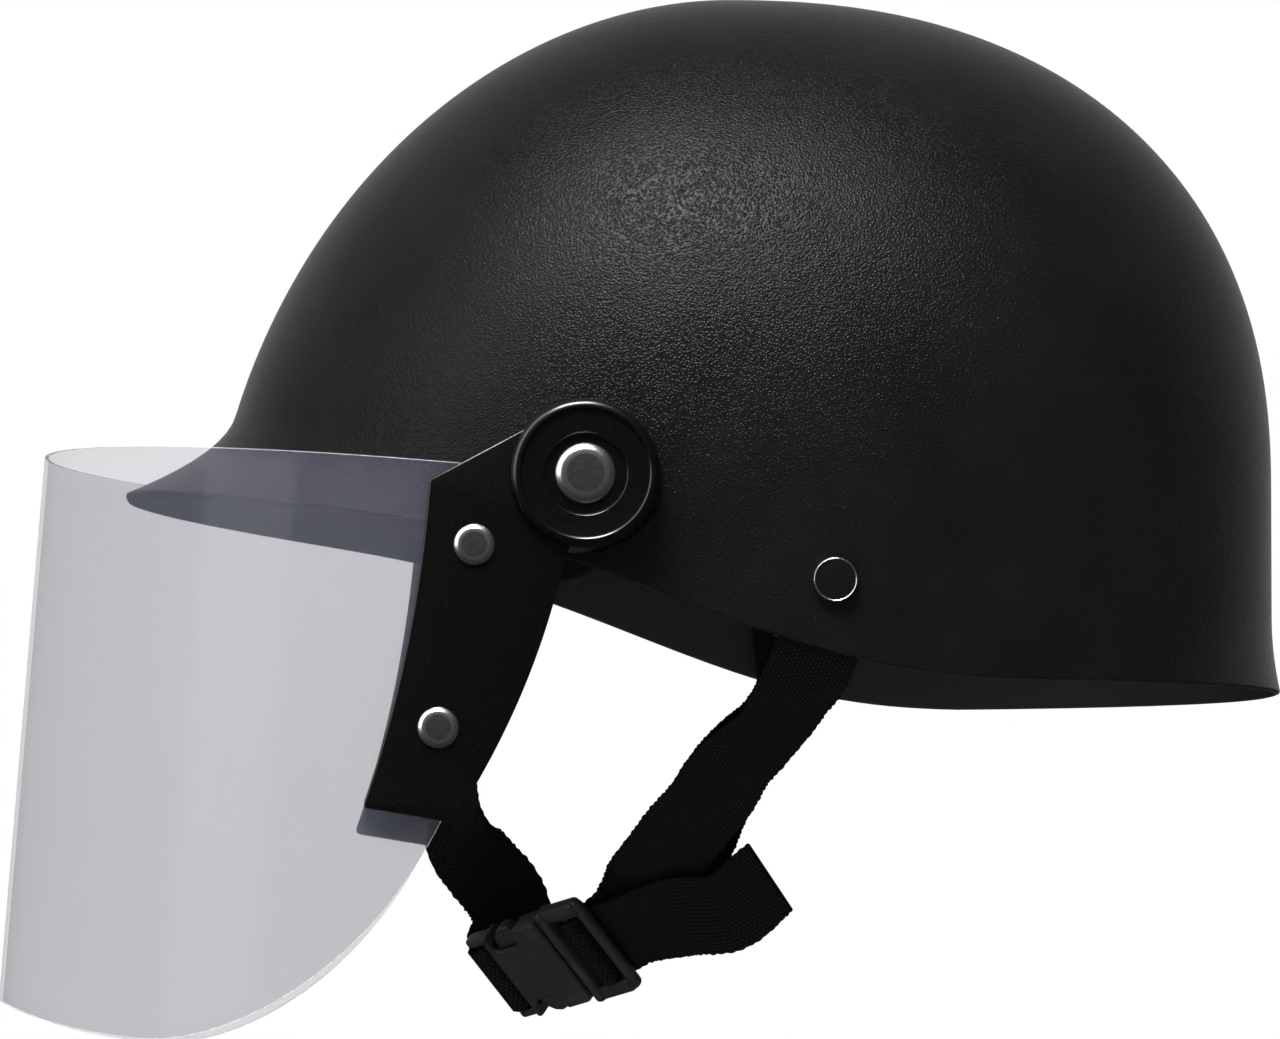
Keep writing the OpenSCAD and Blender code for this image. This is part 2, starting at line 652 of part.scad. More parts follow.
module webbing(places, steps = web_steps) {
    stops = [for (p = places) p[0]];
    at = smooth(stops, stops, steps);
    wide = smooth([for (p = places) p[1]], stops, steps);
    n = len(at);
    function heading(i) = unit(at[min(n - 1, i + 1)] - at[max(0, i - 1)]);
    rings = [for (i = [0:n - 1])
        let (t = heading(i))
        let (w = unit(wide[i] - (wide[i] * t) * t))
        let (f = cross(t, w))
        [at[i] + web_w / 2 * w + web_t / 2 * f, at[i] + web_w / 2 * w - web_t / 2 * f,
            at[i] - web_w / 2 * w - web_t / 2 * f, at[i] - web_w / 2 * w + web_t / 2 * f]];
    points = [for (r = rings) each r];
    faces = [
        for (i = [0:n - 2]) for (k = [0:3])
            let (a = 4 * i + k, b = 4 * i + (k + 1) % 4)
            each [[a, b + 4, b], [a, a + 4, b + 4]],
        [0, 1, 2], [0, 2, 3],
        [4 * n - 4, 4 * n - 2, 4 * n - 3], [4 * n - 4, 4 * n - 1, 4 * n - 2]
    ];
    polyhedron(points = points, faces = faces);
}

// The top of a strap, from above its rivet to below the rim, seen on the left
strap_lean = -14;
far_strap_lean = 4;
function strap_top_place(below, lean) =
    [strap_x, strap_rivet_y + below * sin(lean), strap_rivet_z - below * cos(lean)];
function strap_top(lean) = [for (below = [-9, 0, 9, 16]) [strap_top_place(below, lean), across(lean)]];
function flipped(p) = [[-p[0][0], p[0][1], p[0][2]], p[1]];

// Places round a bar of the buckle, at an angle measured from u towards n
function round_bar(u, n, r, a) = [in_buckle(u + r * cos(a), n + r * sin(a)), -buckle_v];

left_route = concat(strap_top(strap_lean), [
    [[97, 11.9, -2.1], across(-2)],
    [[92.8, 9.35, -6.2], across(4)],
    [[88.5, 6.8, -10.2], across(8)],
    [[83.2, 2, -15], across(-1.5)],
    [[78, -2.8, -19.8], across(-13)],
    [[65, -7.5, -27.4], across(-32)],
    [[50, -15.2, -37.1], across(-38)],
    [[38, -21.8, -46], across(-42, -0.2)],
    [in_buckle(clip_bar_u + 8, strap_under_n - 3, 3.6), -buckle_v],
    [in_buckle(clip_bar_u + 3.4, strap_under_n - 0.8, 1.8), -buckle_v],
    [in_buckle(clip_bar_u, strap_under_n - 0.2, 0.5), -buckle_v],
    [in_buckle(clip_mid_u + clip_mid_r, strap_under_n), -buckle_v],
    [in_buckle(clip_mid_u - 1, strap_under_n + 0.8), -buckle_v],
    for (a = [200:-40:0]) round_bar(clip_mid_u, 0, clip_wrap_r, a)
]);
tail_route = [
    [in_buckle(clip_mid_u + clip_wrap_r, -gap), -buckle_v],
    [in_buckle(clip_mid_u + clip_wrap_r + 0.9, (tail_under_n - gap) * 0.7), -buckle_v],
    [in_buckle(clip_bar_u, tail_under_n), -buckle_v],
    [in_buckle(clip_bar_u + 4.5, tail_under_n + 0.1), -buckle_v],
    [[44.5, -13.5, -54.5], across(-75, -0.2)],
    [[54, -3.1, -53.6], across(-72, -0.1)],
    [[63.5, 6.6, -45.6], across(-68)]
];
right_route = concat([for (p = strap_top(far_strap_lean)) flipped(p)], [
    [[-95, 17.4, -0.5], across(-8)],
    [[-85, 11.4, -6.5], across(-16)],
    [[-70, 3.2, -15], across(-24)],
    [[-56, -1.9, -24.5], across(-30)],
    [[-38, -8.5, -37.5], across(-36)],
    [[-22, -16.5, -50], across(-45)],
    [[-8, -33, -61], across(-60)],
    [in_buckle(socket_bar_u + wrap_r, -7), -buckle_v],
    [in_buckle(socket_bar_u + wrap_r, -3), -buckle_v],
    for (a = [0:36:180]) round_bar(socket_bar_u, socket_bar_n, wrap_r, a),
    [in_buckle(socket_bar_u - wrap_r, -4), -buckle_v],
    [[-8.5, -54.5, -61.5], across(-30)],
    [[-10.5, -52.3, -55.2], across(8)],
    [[-11.3, -54.3, -48.6], across(36)],
    [[-11.3, -60, -41.6], across(41)],
    [[-11, -64.2, -36], across(39, 0.35)],
    [[-10, -66, -29], across(38, 1.2)],
    [[-9.5, -67.5, -19], across(38, 1.2)],
    [[-9, -69, -9], across(38, 1.2)]
]);

module strap_left() {
    color("#141414") difference() {
        webbing(left_route);
        bore(strap_shank_r + fit, strap_x - web_t, strap_x + web_t, strap_rivet_y, strap_rivet_z);
    }
}
module strap_left_tail() { color("#141414") webbing(tail_route); }
module strap_right() {
    color("#141414") difference() {
        webbing(right_route);
        mirror([1, 0, 0])
            bore(strap_shank_r + fit, strap_x - web_t, strap_x + web_t, strap_rivet_y, strap_rivet_z);
    }
}

shell();
brow_pad();
crown_pad();
rear_pad();
side_pad_left();
side_pad_right();
pivot_rivet_left();
pivot_rivet_right();
pivot_washer_left();
pivot_washer_right();
friction_washer_left();
friction_washer_right();
strap_rivet_left();
strap_rivet_right();
strap_washer_left();
strap_washer_right();
visor();
visor_arm_left();
visor_arm_right();
visor_rivets();
visor_rivet_washers();
strap_left();
strap_left_tail();
strap_right();
buckle_socket();
buckle_clip();
release_prong_upper();
release_prong_lower();
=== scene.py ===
"""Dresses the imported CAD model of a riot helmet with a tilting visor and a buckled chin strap.

Lengths in the classes are millimetres, in the CAD model's frame: +Z up, -Y the way the wearer
faces, +X the wearer's left. Meshes are made in metres.
"""

import functools
import logging
import math
from dataclasses import dataclass, field
from enum import Enum
from typing import ClassVar, Iterable, Sequence

import bmesh
import bpy
import numpy as np
from mathutils import Matrix, Vector


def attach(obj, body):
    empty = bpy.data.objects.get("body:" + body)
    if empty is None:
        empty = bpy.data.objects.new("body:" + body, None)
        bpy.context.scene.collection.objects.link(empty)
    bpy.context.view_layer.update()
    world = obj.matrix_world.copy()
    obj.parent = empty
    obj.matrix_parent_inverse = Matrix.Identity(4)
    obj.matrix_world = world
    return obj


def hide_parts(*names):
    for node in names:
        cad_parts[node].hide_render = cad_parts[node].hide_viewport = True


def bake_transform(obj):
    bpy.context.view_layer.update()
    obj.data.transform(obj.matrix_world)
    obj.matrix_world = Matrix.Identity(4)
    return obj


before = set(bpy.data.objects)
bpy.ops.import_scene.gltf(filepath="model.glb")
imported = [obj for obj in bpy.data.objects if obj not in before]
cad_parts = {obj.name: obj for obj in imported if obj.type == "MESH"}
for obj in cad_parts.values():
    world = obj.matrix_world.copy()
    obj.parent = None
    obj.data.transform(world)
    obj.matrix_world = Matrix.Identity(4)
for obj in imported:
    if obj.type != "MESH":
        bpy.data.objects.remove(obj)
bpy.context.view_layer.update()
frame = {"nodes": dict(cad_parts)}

LOG = logging.getLogger("helmet")
METRE = 0.001
# Least radius of a turned row, small enough for its points to weld
NEEDLE = 0.001
Pair = tuple[float, float]
Triple = tuple[float, float, float]


class Side(Enum):
    """The wearer's sides, by the sign of X."""

    LEFT = 1
    RIGHT = -1


class Body(Enum):
    """The CAD bodies that pieces ride on."""

    HELMET = "helmet"
    SHIELD = "face_shield"
    STRAP = "chin_strap"
    CLIP = "clip"
    PRONG_UPPER = "prong_upper"
    PRONG_LOWER = "prong_lower"


# Shader maths


class Signal:
    """A shader value that Python's arithmetic works on."""

    def __init__(self, graph: "Graph", socket: bpy.types.NodeSocket) -> None:
        """Wraps an output socket of a graph."""
        self.graph = graph
        self.socket = socket

    def _math(self, operation: str, other: "Signal | float", swap: bool = False) -> "Signal":
        """Adds a Math node.

        Args:
            operation: The node's operation.
            other: The second value.
            swap: Whether the second value comes first.

        Returns:
            The node's value.
        """
        values = (other, self) if swap else (self, other)
        return self.graph.make("ShaderNodeMath", {"operation": operation}, dict(enumerate(values)))

    def __add__(self, other: "Signal | float") -> "Signal":
        """Adds."""
        return self._math("ADD", other)

    __radd__ = __add__

    def __mul__(self, other: "Signal | float") -> "Signal":
        """Multiplies."""
        return self._math("MULTIPLY", other)

    __rmul__ = __mul__

    def __sub__(self, other: "Signal | float") -> "Signal":
        """Subtracts."""
        return self._math("SUBTRACT", other)

    def __rsub__(self, other: float) -> "Signal":
        """Is subtracted from a number."""
        return self._math("SUBTRACT", other, swap=True)

    def __truediv__(self, other: "Signal | float") -> "Signal":
        """Divides."""
        return self._math("DIVIDE", other)

    def __mod__(self, other: float) -> "Signal":
        """Gives the remainder, never below 0."""
        return self._math("FLOORED_MODULO", other)

    def __pow__(self, other: float) -> "Signal":
        """Raises to a power."""
        return self._math("POWER", other)

    def floor(self) -> "Signal":
        """Rounds down."""
        return self._math("FLOOR", 0.0)

    def sine(self) -> "Signal":
        """Takes the sine of radians."""
        return self._math("SINE", 0.0)

    def size(self) -> "Signal":
        """Takes the absolute value."""
        return self._math("ABSOLUTE", 0.0)

    def most(self, other: "Signal | float") -> "Signal":
        """Takes the greater value."""
        return self._math("MAXIMUM", other)

    def between(self, low: float, high: float) -> "Signal":
        """Ramps smoothly from 0 at low to 1 at high."""
        values = {"Value": self, "From Min": low, "From Max": high}
        return self.graph.make("ShaderNodeMapRange", {"interpolation_type": "SMOOTHSTEP"}, values)


class Graph:
    """A node tree of a material or the world."""

    def __init__(self, owner: bpy.types.Material | bpy.types.World) -> None:
        """Empties the owner's tree."""
        owner.use_nodes = True
        self.tree = owner.node_tree
        self.tree.nodes.clear()

    def plug(self, socket: bpy.types.NodeSocket, value: object) -> None:
        """Links a signal to a socket, or sets the socket to a constant."""
        if isinstance(value, Signal):
            self.tree.links.new(value.socket, socket)
        else:
            socket.default_value = value

    def make(
        self, kind: str, settings: dict | None = None, values: dict | None = None, output: int | str = 0
    ) -> Signal:
        """Adds a node.

        Args:
            kind: The node's type.
            settings: Properties of the node, set first.
            values: Constants or signals by input name or number.
            output: The output's name or number.

        Returns:
            The output's signal.
        """
        node = self.tree.nodes.new(kind)
        for key, setting in (settings or {}).items():
            setattr(node, key, setting)
        for key, value in (values or {}).items():
            self.plug(node.inputs[key], value)
        return Signal(self, node.outputs[output])

    def place(self) -> Signal:
        """Gives the place on the piece, in metres."""
        return self.make("ShaderNodeTexCoord", output="Object")

    def noise(self, grain: float, detail: float = 2.0, stretch: Triple = (1.0, 1.0, 1.0)) -> Signal:
        """Adds noise.

        Args:
            grain: Size of a blotch, in millimetres.
            detail: Octaves of finer noise.
            stretch: Scale along each axis.

        Returns:
            The noise, about 0.5 on average.
        """
        place = self.make("ShaderNodeVectorMath", {"operation": "MULTIPLY"}, {0: self.place(), 1: stretch})
        values = {"Vector": place, "Scale": 1.0 / (grain * METRE), "Detail": detail}
        return self.make("ShaderNodeTexNoise", values=values)

    def cells(self, grain: float) -> Signal:
        """Gives the distance from the middle of pebbles of a size in millimetres."""
        values = {"Vector": self.place(), "Scale": 1.0 / (grain * METRE)}
        return self.make("ShaderNodeTexVoronoi", values=values, output="Distance")

    def blend(self, share: Signal | float, first: Triple | Signal, second: Triple | Signal) -> Signal:
        """Mixes two colours.

        Args:
            share: How much of the second colour.
            first: A colour or a signal.
            second: A colour or a signal.

        Returns:
            The mixed colour.
        """
        colours = [c if isinstance(c, Signal) else (*c, 1.0) for c in (first, second)]
        values = {0: share, 6: colours[0], 7: colours[1]}
        return self.make("ShaderNodeMix", {"data_type": "RGBA"}, values, output=2)

    def bump(self, height: Signal, depth: float, strength: float = 1.0) -> Signal:
        """Turns a height into a normal, with the depth of a height of 1 in millimetres."""
        values = {"Height": height, "Distance": depth * METRE, "Strength": strength}
        return self.make("ShaderNodeBump", values=values)

    def close(self, shader: Signal, kind: str) -> None:
        """Links a shader to a new output node of a type."""
        self.plug(self.tree.nodes.new(kind).inputs["Surface"], shader)

    def coat(self, **values: object) -> None:
        """Ends the graph with a Principled BSDF, whose sockets are named with underscores for spaces."""
        sockets = {key.replace("_", " "): value for key, value in values.items()}
        self.close(self.make("ShaderNodeBsdfPrincipled", values=sockets), "ShaderNodeOutputMaterial")


# Finishes


@dataclass(frozen=True)
class Finish:
    """What a surface is made of: its name, its slot in the record and its colour."""

    name: str
    slot: str
    tone: Triple = (0.0, 0.0, 0.0)
    blended: ClassVar[bool] = False

    def paint(self, graph: Graph) -> None:
        """Fills the graph of the finish."""
        raise NotImplementedError

    def tint(self, graph: Graph, share: Signal, last: float, first: float = 1.0) -> Signal:
        """Mixes two multiples of the finish's colour.

        Args:
            graph: The finish's graph.
            share: How much of the last one.
            last: The multiple where the share is 1.
            first: The multiple where the share is 0.

        Returns:
            The mixed colour.
        """
        start, end = (tuple(factor * c for c in self.tone) for factor in (first, last))
        return graph.blend(share, start, end)

    @functools.cache
    def material(self) -> bpy.types.Material:
        """Gives the finish's one material."""
        material = bpy.data.materials.new(self.name)
        self.paint(Graph(material))
        if self.blended:
            material.surface_render_method = "BLENDED"
        return material


@dataclass(frozen=True)
class PebbledShell(Finish):
    """Moulded black plastic with a fine pebble grain."""

    tone: Triple = (0.0038, 0.004, 0.0042)
    grain: float = 0.62
    depth: float = 0.105
    rough: float = 0.17

    def paint(self, graph: Graph) -> None:
        """Fills the graph of the finish."""
        pebbles = graph.cells(self.grain)
        grit = graph.noise(self.grain * 0.55, 3.0)
        patches = graph.noise(26.0, 4.0)
        height = 1.0 - pebbles.between(0.0, 0.75) + grit * 0.9
        worn = patches.between(0.3, 0.75) * 0.5 + grit.between(0.5, 0.8) * 0.5
        graph.coat(
            Base_Color=self.tint(graph, worn, 1.7),
            Roughness=self.rough + patches * 0.03 + pebbles * 0.03,
            Normal=graph.bump(height, self.depth),
            Specular_IOR_Level=0.065,
        )


@dataclass(frozen=True)
class SmoothInside(Finish):
    """The shell's inner face, straight from the polished core of the mould."""

    tone: Triple = (0.011, 0.0125, 0.0132)

    def paint(self, graph: Graph) -> None:
        """Fills the graph of the finish."""
        flow = graph.noise(30.0, 2.0)
        graph.coat(
            Base_Color=self.tint(graph, flow, 1.3),
            Roughness=0.5 + flow * 0.08,
            Normal=graph.bump(flow, 0.05, 0.4),
            Specular_IOR_Level=0.1,
        )


@dataclass(frozen=True)
class PolishedArm(Finish):
    """Black plastic from a polished mould."""

    tone: Triple = (0.0008, 0.0009, 0.0009)

    def paint(self, graph: Graph) -> None:
        """Fills the graph of the finish."""
        wave = graph.noise(9.0, 1.0)
        dust = graph.noise(1.3, 5.0).between(0.55, 0.85)
        graph.coat(
            Base_Color=self.tint(graph, dust, 1.8),
            Roughness=0.25 + dust * 0.08,
            Normal=graph.bump(wave, 0.02, 0.4),
            Specular_IOR_Level=0.47,
        )


@dataclass(frozen=True)
class ClearSheet(Finish):
    """Clear sheet with a faint cool tint. Light crosses two faces at each wall."""

    tone: Triple = (0.099, 0.103, 0.132)
    cover: float = 0.187
    blended: ClassVar[bool] = True

    def paint(self, graph: Graph) -> None:
        """Fills the graph of the finish."""
        haze = graph.noise(60.0, 1.0)
        skimmed = graph.make("ShaderNodeLayerWeight", values={"Blend": 0.2}, output="Facing") ** 3.0
        graph.coat(
            Base_Color=self.tint(graph, haze, 1.04),
            Roughness=0.12,
            Alpha=self.cover + haze * 0.006 + skimmed * 0.36,
            IOR=1.49,
            Specular_IOR_Level=0.3,
        )


@dataclass(frozen=True)
class CutEdge(Finish):
    """The sheet's sawn and flamed edge. Its near-white colour is a painted highlight for the light that the
    whole sheet gathers at its edge.
    """

    # Near white: painted highlight for the light the edge gathers, not the clear sheet's own colour.
    tone: Triple = (0.86, 0.88, 0.93)

    def paint(self, graph: Graph) -> None:
        """Fills the graph of the finish."""
        chatter = graph.noise(1.1, 3.0)
        graph.coat(
            Base_Color=self.tint(graph, chatter.between(0.35, 0.7), 1.0, 0.55),
            Roughness=0.25,
            Normal=graph.bump(chatter, 0.05, 0.6),
            Specular_IOR_Level=0.6,
        )


@dataclass(frozen=True)
class Plate(Finish):
    """Plated metal with faint turning marks and scratches."""

    rough: float = 0.2
    marks: float = 1.0

    def paint(self, graph: Graph) -> None:
        """Fills the graph of the finish."""
        satin = graph.noise(0.9, 4.0)
        scratches = graph.noise(0.8, 4.0, (1.0, 6.0, 0.5)).between(0.58, 0.8)
        graph.coat(
            Base_Color=self.tint(graph, satin * 0.35 * self.marks, 0.6),
            Metallic=1.0,
            Roughness=self.rough + satin * 0.12 * self.marks + scratches * 0.12 * self.marks,
            Normal=graph.bump(satin + scratches, 0.012 * self.marks, 0.5),
        )


@dataclass(frozen=True)
class Fibre(Finish):
    """Pressed fibre of the friction washers."""

    tone: Triple = (0.035, 0.033, 0.03)
    pale: Triple = (0.08, 0.075, 0.068)

    def paint(self, graph: Graph) -> None:
        """Fills the graph of the finish."""
        strands = graph.noise(0.5, 4.0, (1.0, 3.0, 1.0))
        colour = graph.blend(strands, self.tone, self.pale)
        graph.coat(Base_Color=colour, Roughness=0.8, Normal=graph.bump(strands, 0.05))


@dataclass(frozen=True)
class Weave(Finish):
    """Black webbing: ribs of warp bundles crossed by picks, from the piece's own run."""

    tone: Triple = (0.0034, 0.0034, 0.0035)
    rib: float = 0.95
    pick: float = 1.15

    def paint(self, graph: Graph) -> None:
        """Fills the graph of the finish."""
        run = graph.make("ShaderNodeAttribute", {"attribute_name": "run"}, output="Vector")
        width, length = (graph.make("ShaderNodeSeparateXYZ", values={0: run}, output=k) for k in (0, 1))
        column = (width / self.rib).floor()
        across = width / self.rib - column - 0.5
        bundle = 1.0 - (across * 2.0).size() ** 2.0
        phase = (column % 2.0) * math.pi
        stitch = (length * (2.0 * math.pi / self.pick) + phase).sine() * 0.5 + 0.5
        fuzz = graph.noise(0.35, 4.0)
        height = bundle * (stitch * 0.75 + 0.25) + fuzz * 0.25
        graph.coat(
            # The colour follows the height: painted shade in the hollows between bundles and picks, painted
            # highlight on the bundles' tops.
            Base_Color=self.tint(graph, height.between(0.25, 1.05), 1.6, 0.5),
            Roughness=0.85,
            Normal=graph.bump(height, 0.14, 0.8),
            Specular_IOR_Level=0.02,
        )


@dataclass(frozen=True)
class BuckleAcetal(Finish):
    """Dark grey moulded plastic of the buckle, with a soft mould texture."""

    tone: Triple = (0.0094, 0.01, 0.0092)

    def paint(self, graph: Graph) -> None:
        """Fills the graph of the finish."""
        skin = graph.noise(0.45, 3.0)
        rubbed = graph.noise(5.0, 3.0).between(0.45, 0.8)
        graph.coat(
            Base_Color=self.tint(graph, rubbed, 1.5),
            Roughness=0.36 + skin * 0.14,
            Normal=graph.bump(skin, 0.025, 0.6),
            Specular_IOR_Level=0.32,
        )


@dataclass(frozen=True)
class FoamCover(Finish):
    """Brushed knit over closed-cell foam."""

    tone: Triple = (0.018, 0.018, 0.02)

    def paint(self, graph: Graph) -> None:
        """Fills the graph of the finish."""
        loops = graph.cells(0.9)
        nap = graph.noise(0.4, 4.0)
        tufts = graph.noise(7.0, 3.0)
        graph.coat(
            Base_Color=self.tint(graph, nap * tufts * 2.0, 2.6),
            Roughness=0.92,
            Normal=graph.bump(nap - loops * 0.8, 0.2, 0.8),
            Sheen_Weight=0.35,
            Specular_IOR_Level=0.2,
        )


@dataclass(frozen=True)
class PaleFloor(Finish):
    """The studio's floor, a little uneven in tone. It is no piece, so it has no slot."""

    tone: Triple = (0.8, 0.8, 0.8)

    def paint(self, graph: Graph) -> None:
        """Fills the graph of the finish."""
        graph.coat(Base_Color=self.tint(graph, graph.noise(180.0, 3.0), 1.05), Roughness=0.9)


SHELL_PLASTIC = PebbledShell("pebbled_shell", "shell_plastic")
SHELL_INSIDE = SmoothInside("shell_inside", "shell_plastic")
ARM_PLASTIC = PolishedArm("polished_arm", "arm_gloss")
SHEET = ClearSheet("clear_sheet", "visor_clear")
SHEET_EDGE = CutEdge("sheet_edge_painted_highlight", "visor_clear")
NICKEL = Plate("satin_nickel", "nickel", (0.62, 0.61, 0.58), 0.24, 0.6)
# Darker copies of the nickel plate: painted shade for the dim surroundings that the rivets' faces reflect.
SHADED_MIRROR_FACE = Plate("mirror_face_painted_shade", "nickel", (0.2, 0.195, 0.19), 0.12, 0.3)
SHADED_CAP_FACE = Plate("cap_face_painted_shade", "nickel", (0.37, 0.36, 0.34), 0.22, 0.9)
ZINC = Plate("zinc_plate", "washer_steel", (0.6, 0.59, 0.57), 0.3)
FIBRE = Fibre("pressed_fibre", "washer_fibre")
WEBBING = Weave("black_webbing", "webbing")
ACETAL = BuckleAcetal("buckle_acetal", "buckle_plastic")
FOAM = FoamCover("foam_cover", "foam")
PALE_FLOOR = PaleFloor("pale_floor", slot="")


# Meshes


class Form:
    """Points and faces of one piece, in millimetres."""

    def __init__(self) -> None:
        """Starts an empty form."""
        self.points: list[Sequence[float]] = []
        self.faces: list[tuple[int, ...]] = []
        self.slots: list[int] = []
        self.run: list[Sequence[float]] = []

    def grid(
        self, places: np.ndarray, ring: bool = False, slot: int = 0, run: np.ndarray | None = None
    ) -> None:
        """Adds a skin over rows and columns of points.

        Args:
            places: Points by row and column.
            ring: Whether the columns close on themselves.
            slot: Material slot of the faces.
            run: What the "run" attribute holds at each point.
        """
        rows, cols = places.shape[:2]
        first = len(self.points)
        self.points.extend(places.reshape(-1, 3).tolist())
        if run is not None:
            self.run.extend(run.reshape(-1, 3).tolist())
        for i in range(rows - 1):
            for j in range(cols if ring else cols - 1):
                i1, j1 = i + 1, (j + 1) % cols
                corners = ((i, j), (i, j1), (i1, j1), (i1, j))
                self.faces.append(tuple(first + a * cols + b for a, b in corners))
                self.slots.append(slot)

    def lid(self, places: np.ndarray, flip: bool = False) -> None:
        """Adds one flat face.

        Args:
            places: Its corners.
            flip: Whether it faces the other way.
        """
        first = len(self.points)
        self.points.extend(np.asarray(places).tolist())
        order = tuple(range(first, len(self.points)))
        self.faces.append(order[::-1] if flip else order)
        self.slots.append(0)

    def lathe(
        self,
        profile: Sequence[Pair],
        place: Triple,
        side: Side = Side.LEFT,
        turns: int = 96,
        face: int | None = None,
    ) -> None:
        """Turns a profile round an axis along X.

        Args:
            profile: Radius and height outwards, from the inner end to the outer.
            place: X of height 0 on the left side, and Y and Z of the axis.
            side: Which side it is on.
            turns: Points round the axis.
            face: Number of the first profile point whose faces take material slot 1.
        """
        x, y, z = place
        angles = np.linspace(0.0, 2.0 * math.pi, turns, endpoint=False)
        rows = []
        for radius, height in profile:
            r = max(radius, NEEDLE)
            out = np.full(turns, side.value * (x + height))
            rows.append(np.stack([out, y + r * np.cos(angles), z + r * np.sin(angles)], axis=1))
        cut = len(rows) if face is None else face
        self.grid(np.array(rows[: cut + 1]), ring=True)
        if cut < len(rows):
            self.grid(np.array(rows[cut:]), ring=True, slot=1)

    def piece(self, name: str, edge: float = 0.0, sharp: float = 40.0) -> bpy.types.Object:
        """Makes the object.

        Args:
            name: The object's name.
            edge: Width that sharp edges are rounded to.
            sharp: Angle from which an edge counts as sharp, in degrees.

        Returns:
            The new object, with its modifiers.
        """
        mesh = bpy.data.meshes.new(name)
        mesh.from_pydata([[c * METRE for c in p] for p in self.points], [], self.faces)
        mesh.polygons.foreach_set("material_index", self.slots)
        if self.run:
            marks = mesh.attributes.new("run", "FLOAT_VECTOR", "POINT")
            marks.data.foreach_set("vector", np.array(self.run).ravel())
        return settle(mesh, name, edge, sharp)


def settle(
    mesh: bpy.types.Mesh, name: str, edge: float = 0.0, sharp: float = 35.0
) -> bpy.types.Object:
    """Welds, turns outwards, smooths and links a mesh.

    Args:
        mesh: The mesh, in metres.
        name: The object's name.
        edge: Width that sharp edges are rounded to, in millimetres.
        sharp: Angle from which an edge counts as sharp, in degrees.

    Returns:
        The new object.
    """
    work = bmesh.new()
    work.from_mesh(mesh)
    bmesh.ops.remove_doubles(work, verts=work.verts, dist=2e-6)
    bmesh.ops.dissolve_degenerate(work, dist=1e-6, edges=work.edges)
    bmesh.ops.recalc_face_normals(work, faces=work.faces)
    work.to_mesh(mesh)
    work.free()
    mesh.shade_smooth()
    mesh.set_sharp_from_angle(angle=math.radians(sharp))
    piece = bpy.data.objects.new(name, mesh)
    bpy.context.scene.collection.objects.link(piece)
    if edge:
        rounding = piece.modifiers.new("edge", "BEVEL")
        rounding.width = edge * METRE
        rounding.segments = 3
        rounding.limit_method = "ANGLE"
        rounding.angle_limit = math.radians(sharp)
        rounding.harden_normals = True
        rounding.use_clamp_overlap = True
    return piece


def stamp(
    name: str, outlines: Sequence[Sequence[Pair]], thick: float, edge: float, place: Matrix
) -> bpy.types.Mesh:
    """Cuts a plate with rounded edges from outlines, the first one outside and the others holes.

    Args:
        name: The mesh's name.
        outlines: Closed outlines.
        thick: Thickness of the plate.
        edge: Radius of its edges.
        place: Where the plate's own frame stands, in millimetres.

    Returns:
        The mesh, in metres.
    """
    curve = bpy.data.curves.new(name, "CURVE")
    curve.dimensions, curve.fill_mode = "2D", "BOTH"
    curve.extrude, curve.bevel_depth, curve.offset = thick / 2.0 - edge, edge, -edge
    curve.bevel_resolution = 2
    for outline in outlines:
        line = curve.splines.new("POLY")
        line.points.add(len(outline) - 1)
        line.points.foreach_set("co", [c for p in outline for c in (p[0], p[1], 0.0, 1.0)])
        line.use_cyclic_u = True
    holder = bpy.data.objects.new(name, curve)
    bpy.context.scene.collection.objects.link(holder)
    view = bpy.context.evaluated_depsgraph_get()
    mesh = bpy.data.meshes.new_from_object(holder.evaluated_get(view))
    mesh.transform(Matrix.Scale(METRE, 4) @ place)
    bpy.data.objects.remove(holder)
    bpy.data.curves.remove(curve)
    return mesh


def rounded(corners: Sequence[Triple], steps: int = 6) -> list[Pair]:
    """Rounds the corners of an outline.

    Args:
        corners: Each corner's two coordinates and its radius.
        steps: Points on each arc, less one.

    Returns:
        The outline's points.
    """
    outline: list[Pair] = []
    for i, (x, y, radius) in enumerate(corners):
        here = Vector((x, y))
        back = Vector(corners[i - 1][:2]) - here
        ahead = Vector(corners[(i + 1) % len(corners)][:2]) - here
        turn = back.angle(ahead, math.pi)
        if radius <= 0.0 or turn > math.radians(176.0):
            outline.append((x, y))
            continue
        reach = min(radius / math.tan(turn / 2.0), 0.49 * back.length, 0.49 * ahead.length)
        a, b = here + back.normalized() * reach, here + ahead.normalized() * reach
        for k in range(steps + 1):
            t = k / steps
            p = (1 - t) ** 2 * a + 2 * t * (1 - t) * here + t * t * b
            outline.append((p.x, p.y))
    return outline


def bare(piece: bpy.types.Object) -> bpy.types.Mesh:
    """Takes an object's mesh and removes the object."""
    mesh = piece.data
    bpy.data.objects.remove(piece)
    return mesh


def moulding(name: str, meshes: Iterable[bpy.types.Mesh]) -> bpy.types.Object:
    """Joins meshes into one moulded piece.

    Args:
        name: The piece's name.
        meshes: Its parts, in metres.

    Returns:
        The new object.
    """
    work = bmesh.new()
    for mesh in meshes:
        work.from_mesh(mesh)
    whole = bpy.data.meshes.new(name)
    work.to_mesh(whole)
    work.free()
    return settle(whole, name)


def carve(piece: bpy.types.Object, cutter: bpy.types.Object) -> bpy.types.Mesh:
    """Cuts one object out of another, and removes both.

    Args:
        piece: The object that is cut.
        cutter: The object that cuts it.

    Returns:
        The mesh that is left, in metres.
    """
    knife = piece.modifiers.new("knife", "BOOLEAN")
    knife.operation, knife.solver, knife.object = "DIFFERENCE", "EXACT", cutter
    view = bpy.context.evaluated_depsgraph_get()
    mesh = bpy.data.meshes.new_from_object(piece.evaluated_get(view))
    bpy.data.objects.remove(piece)
    bpy.data.objects.remove(cutter)
    return mesh


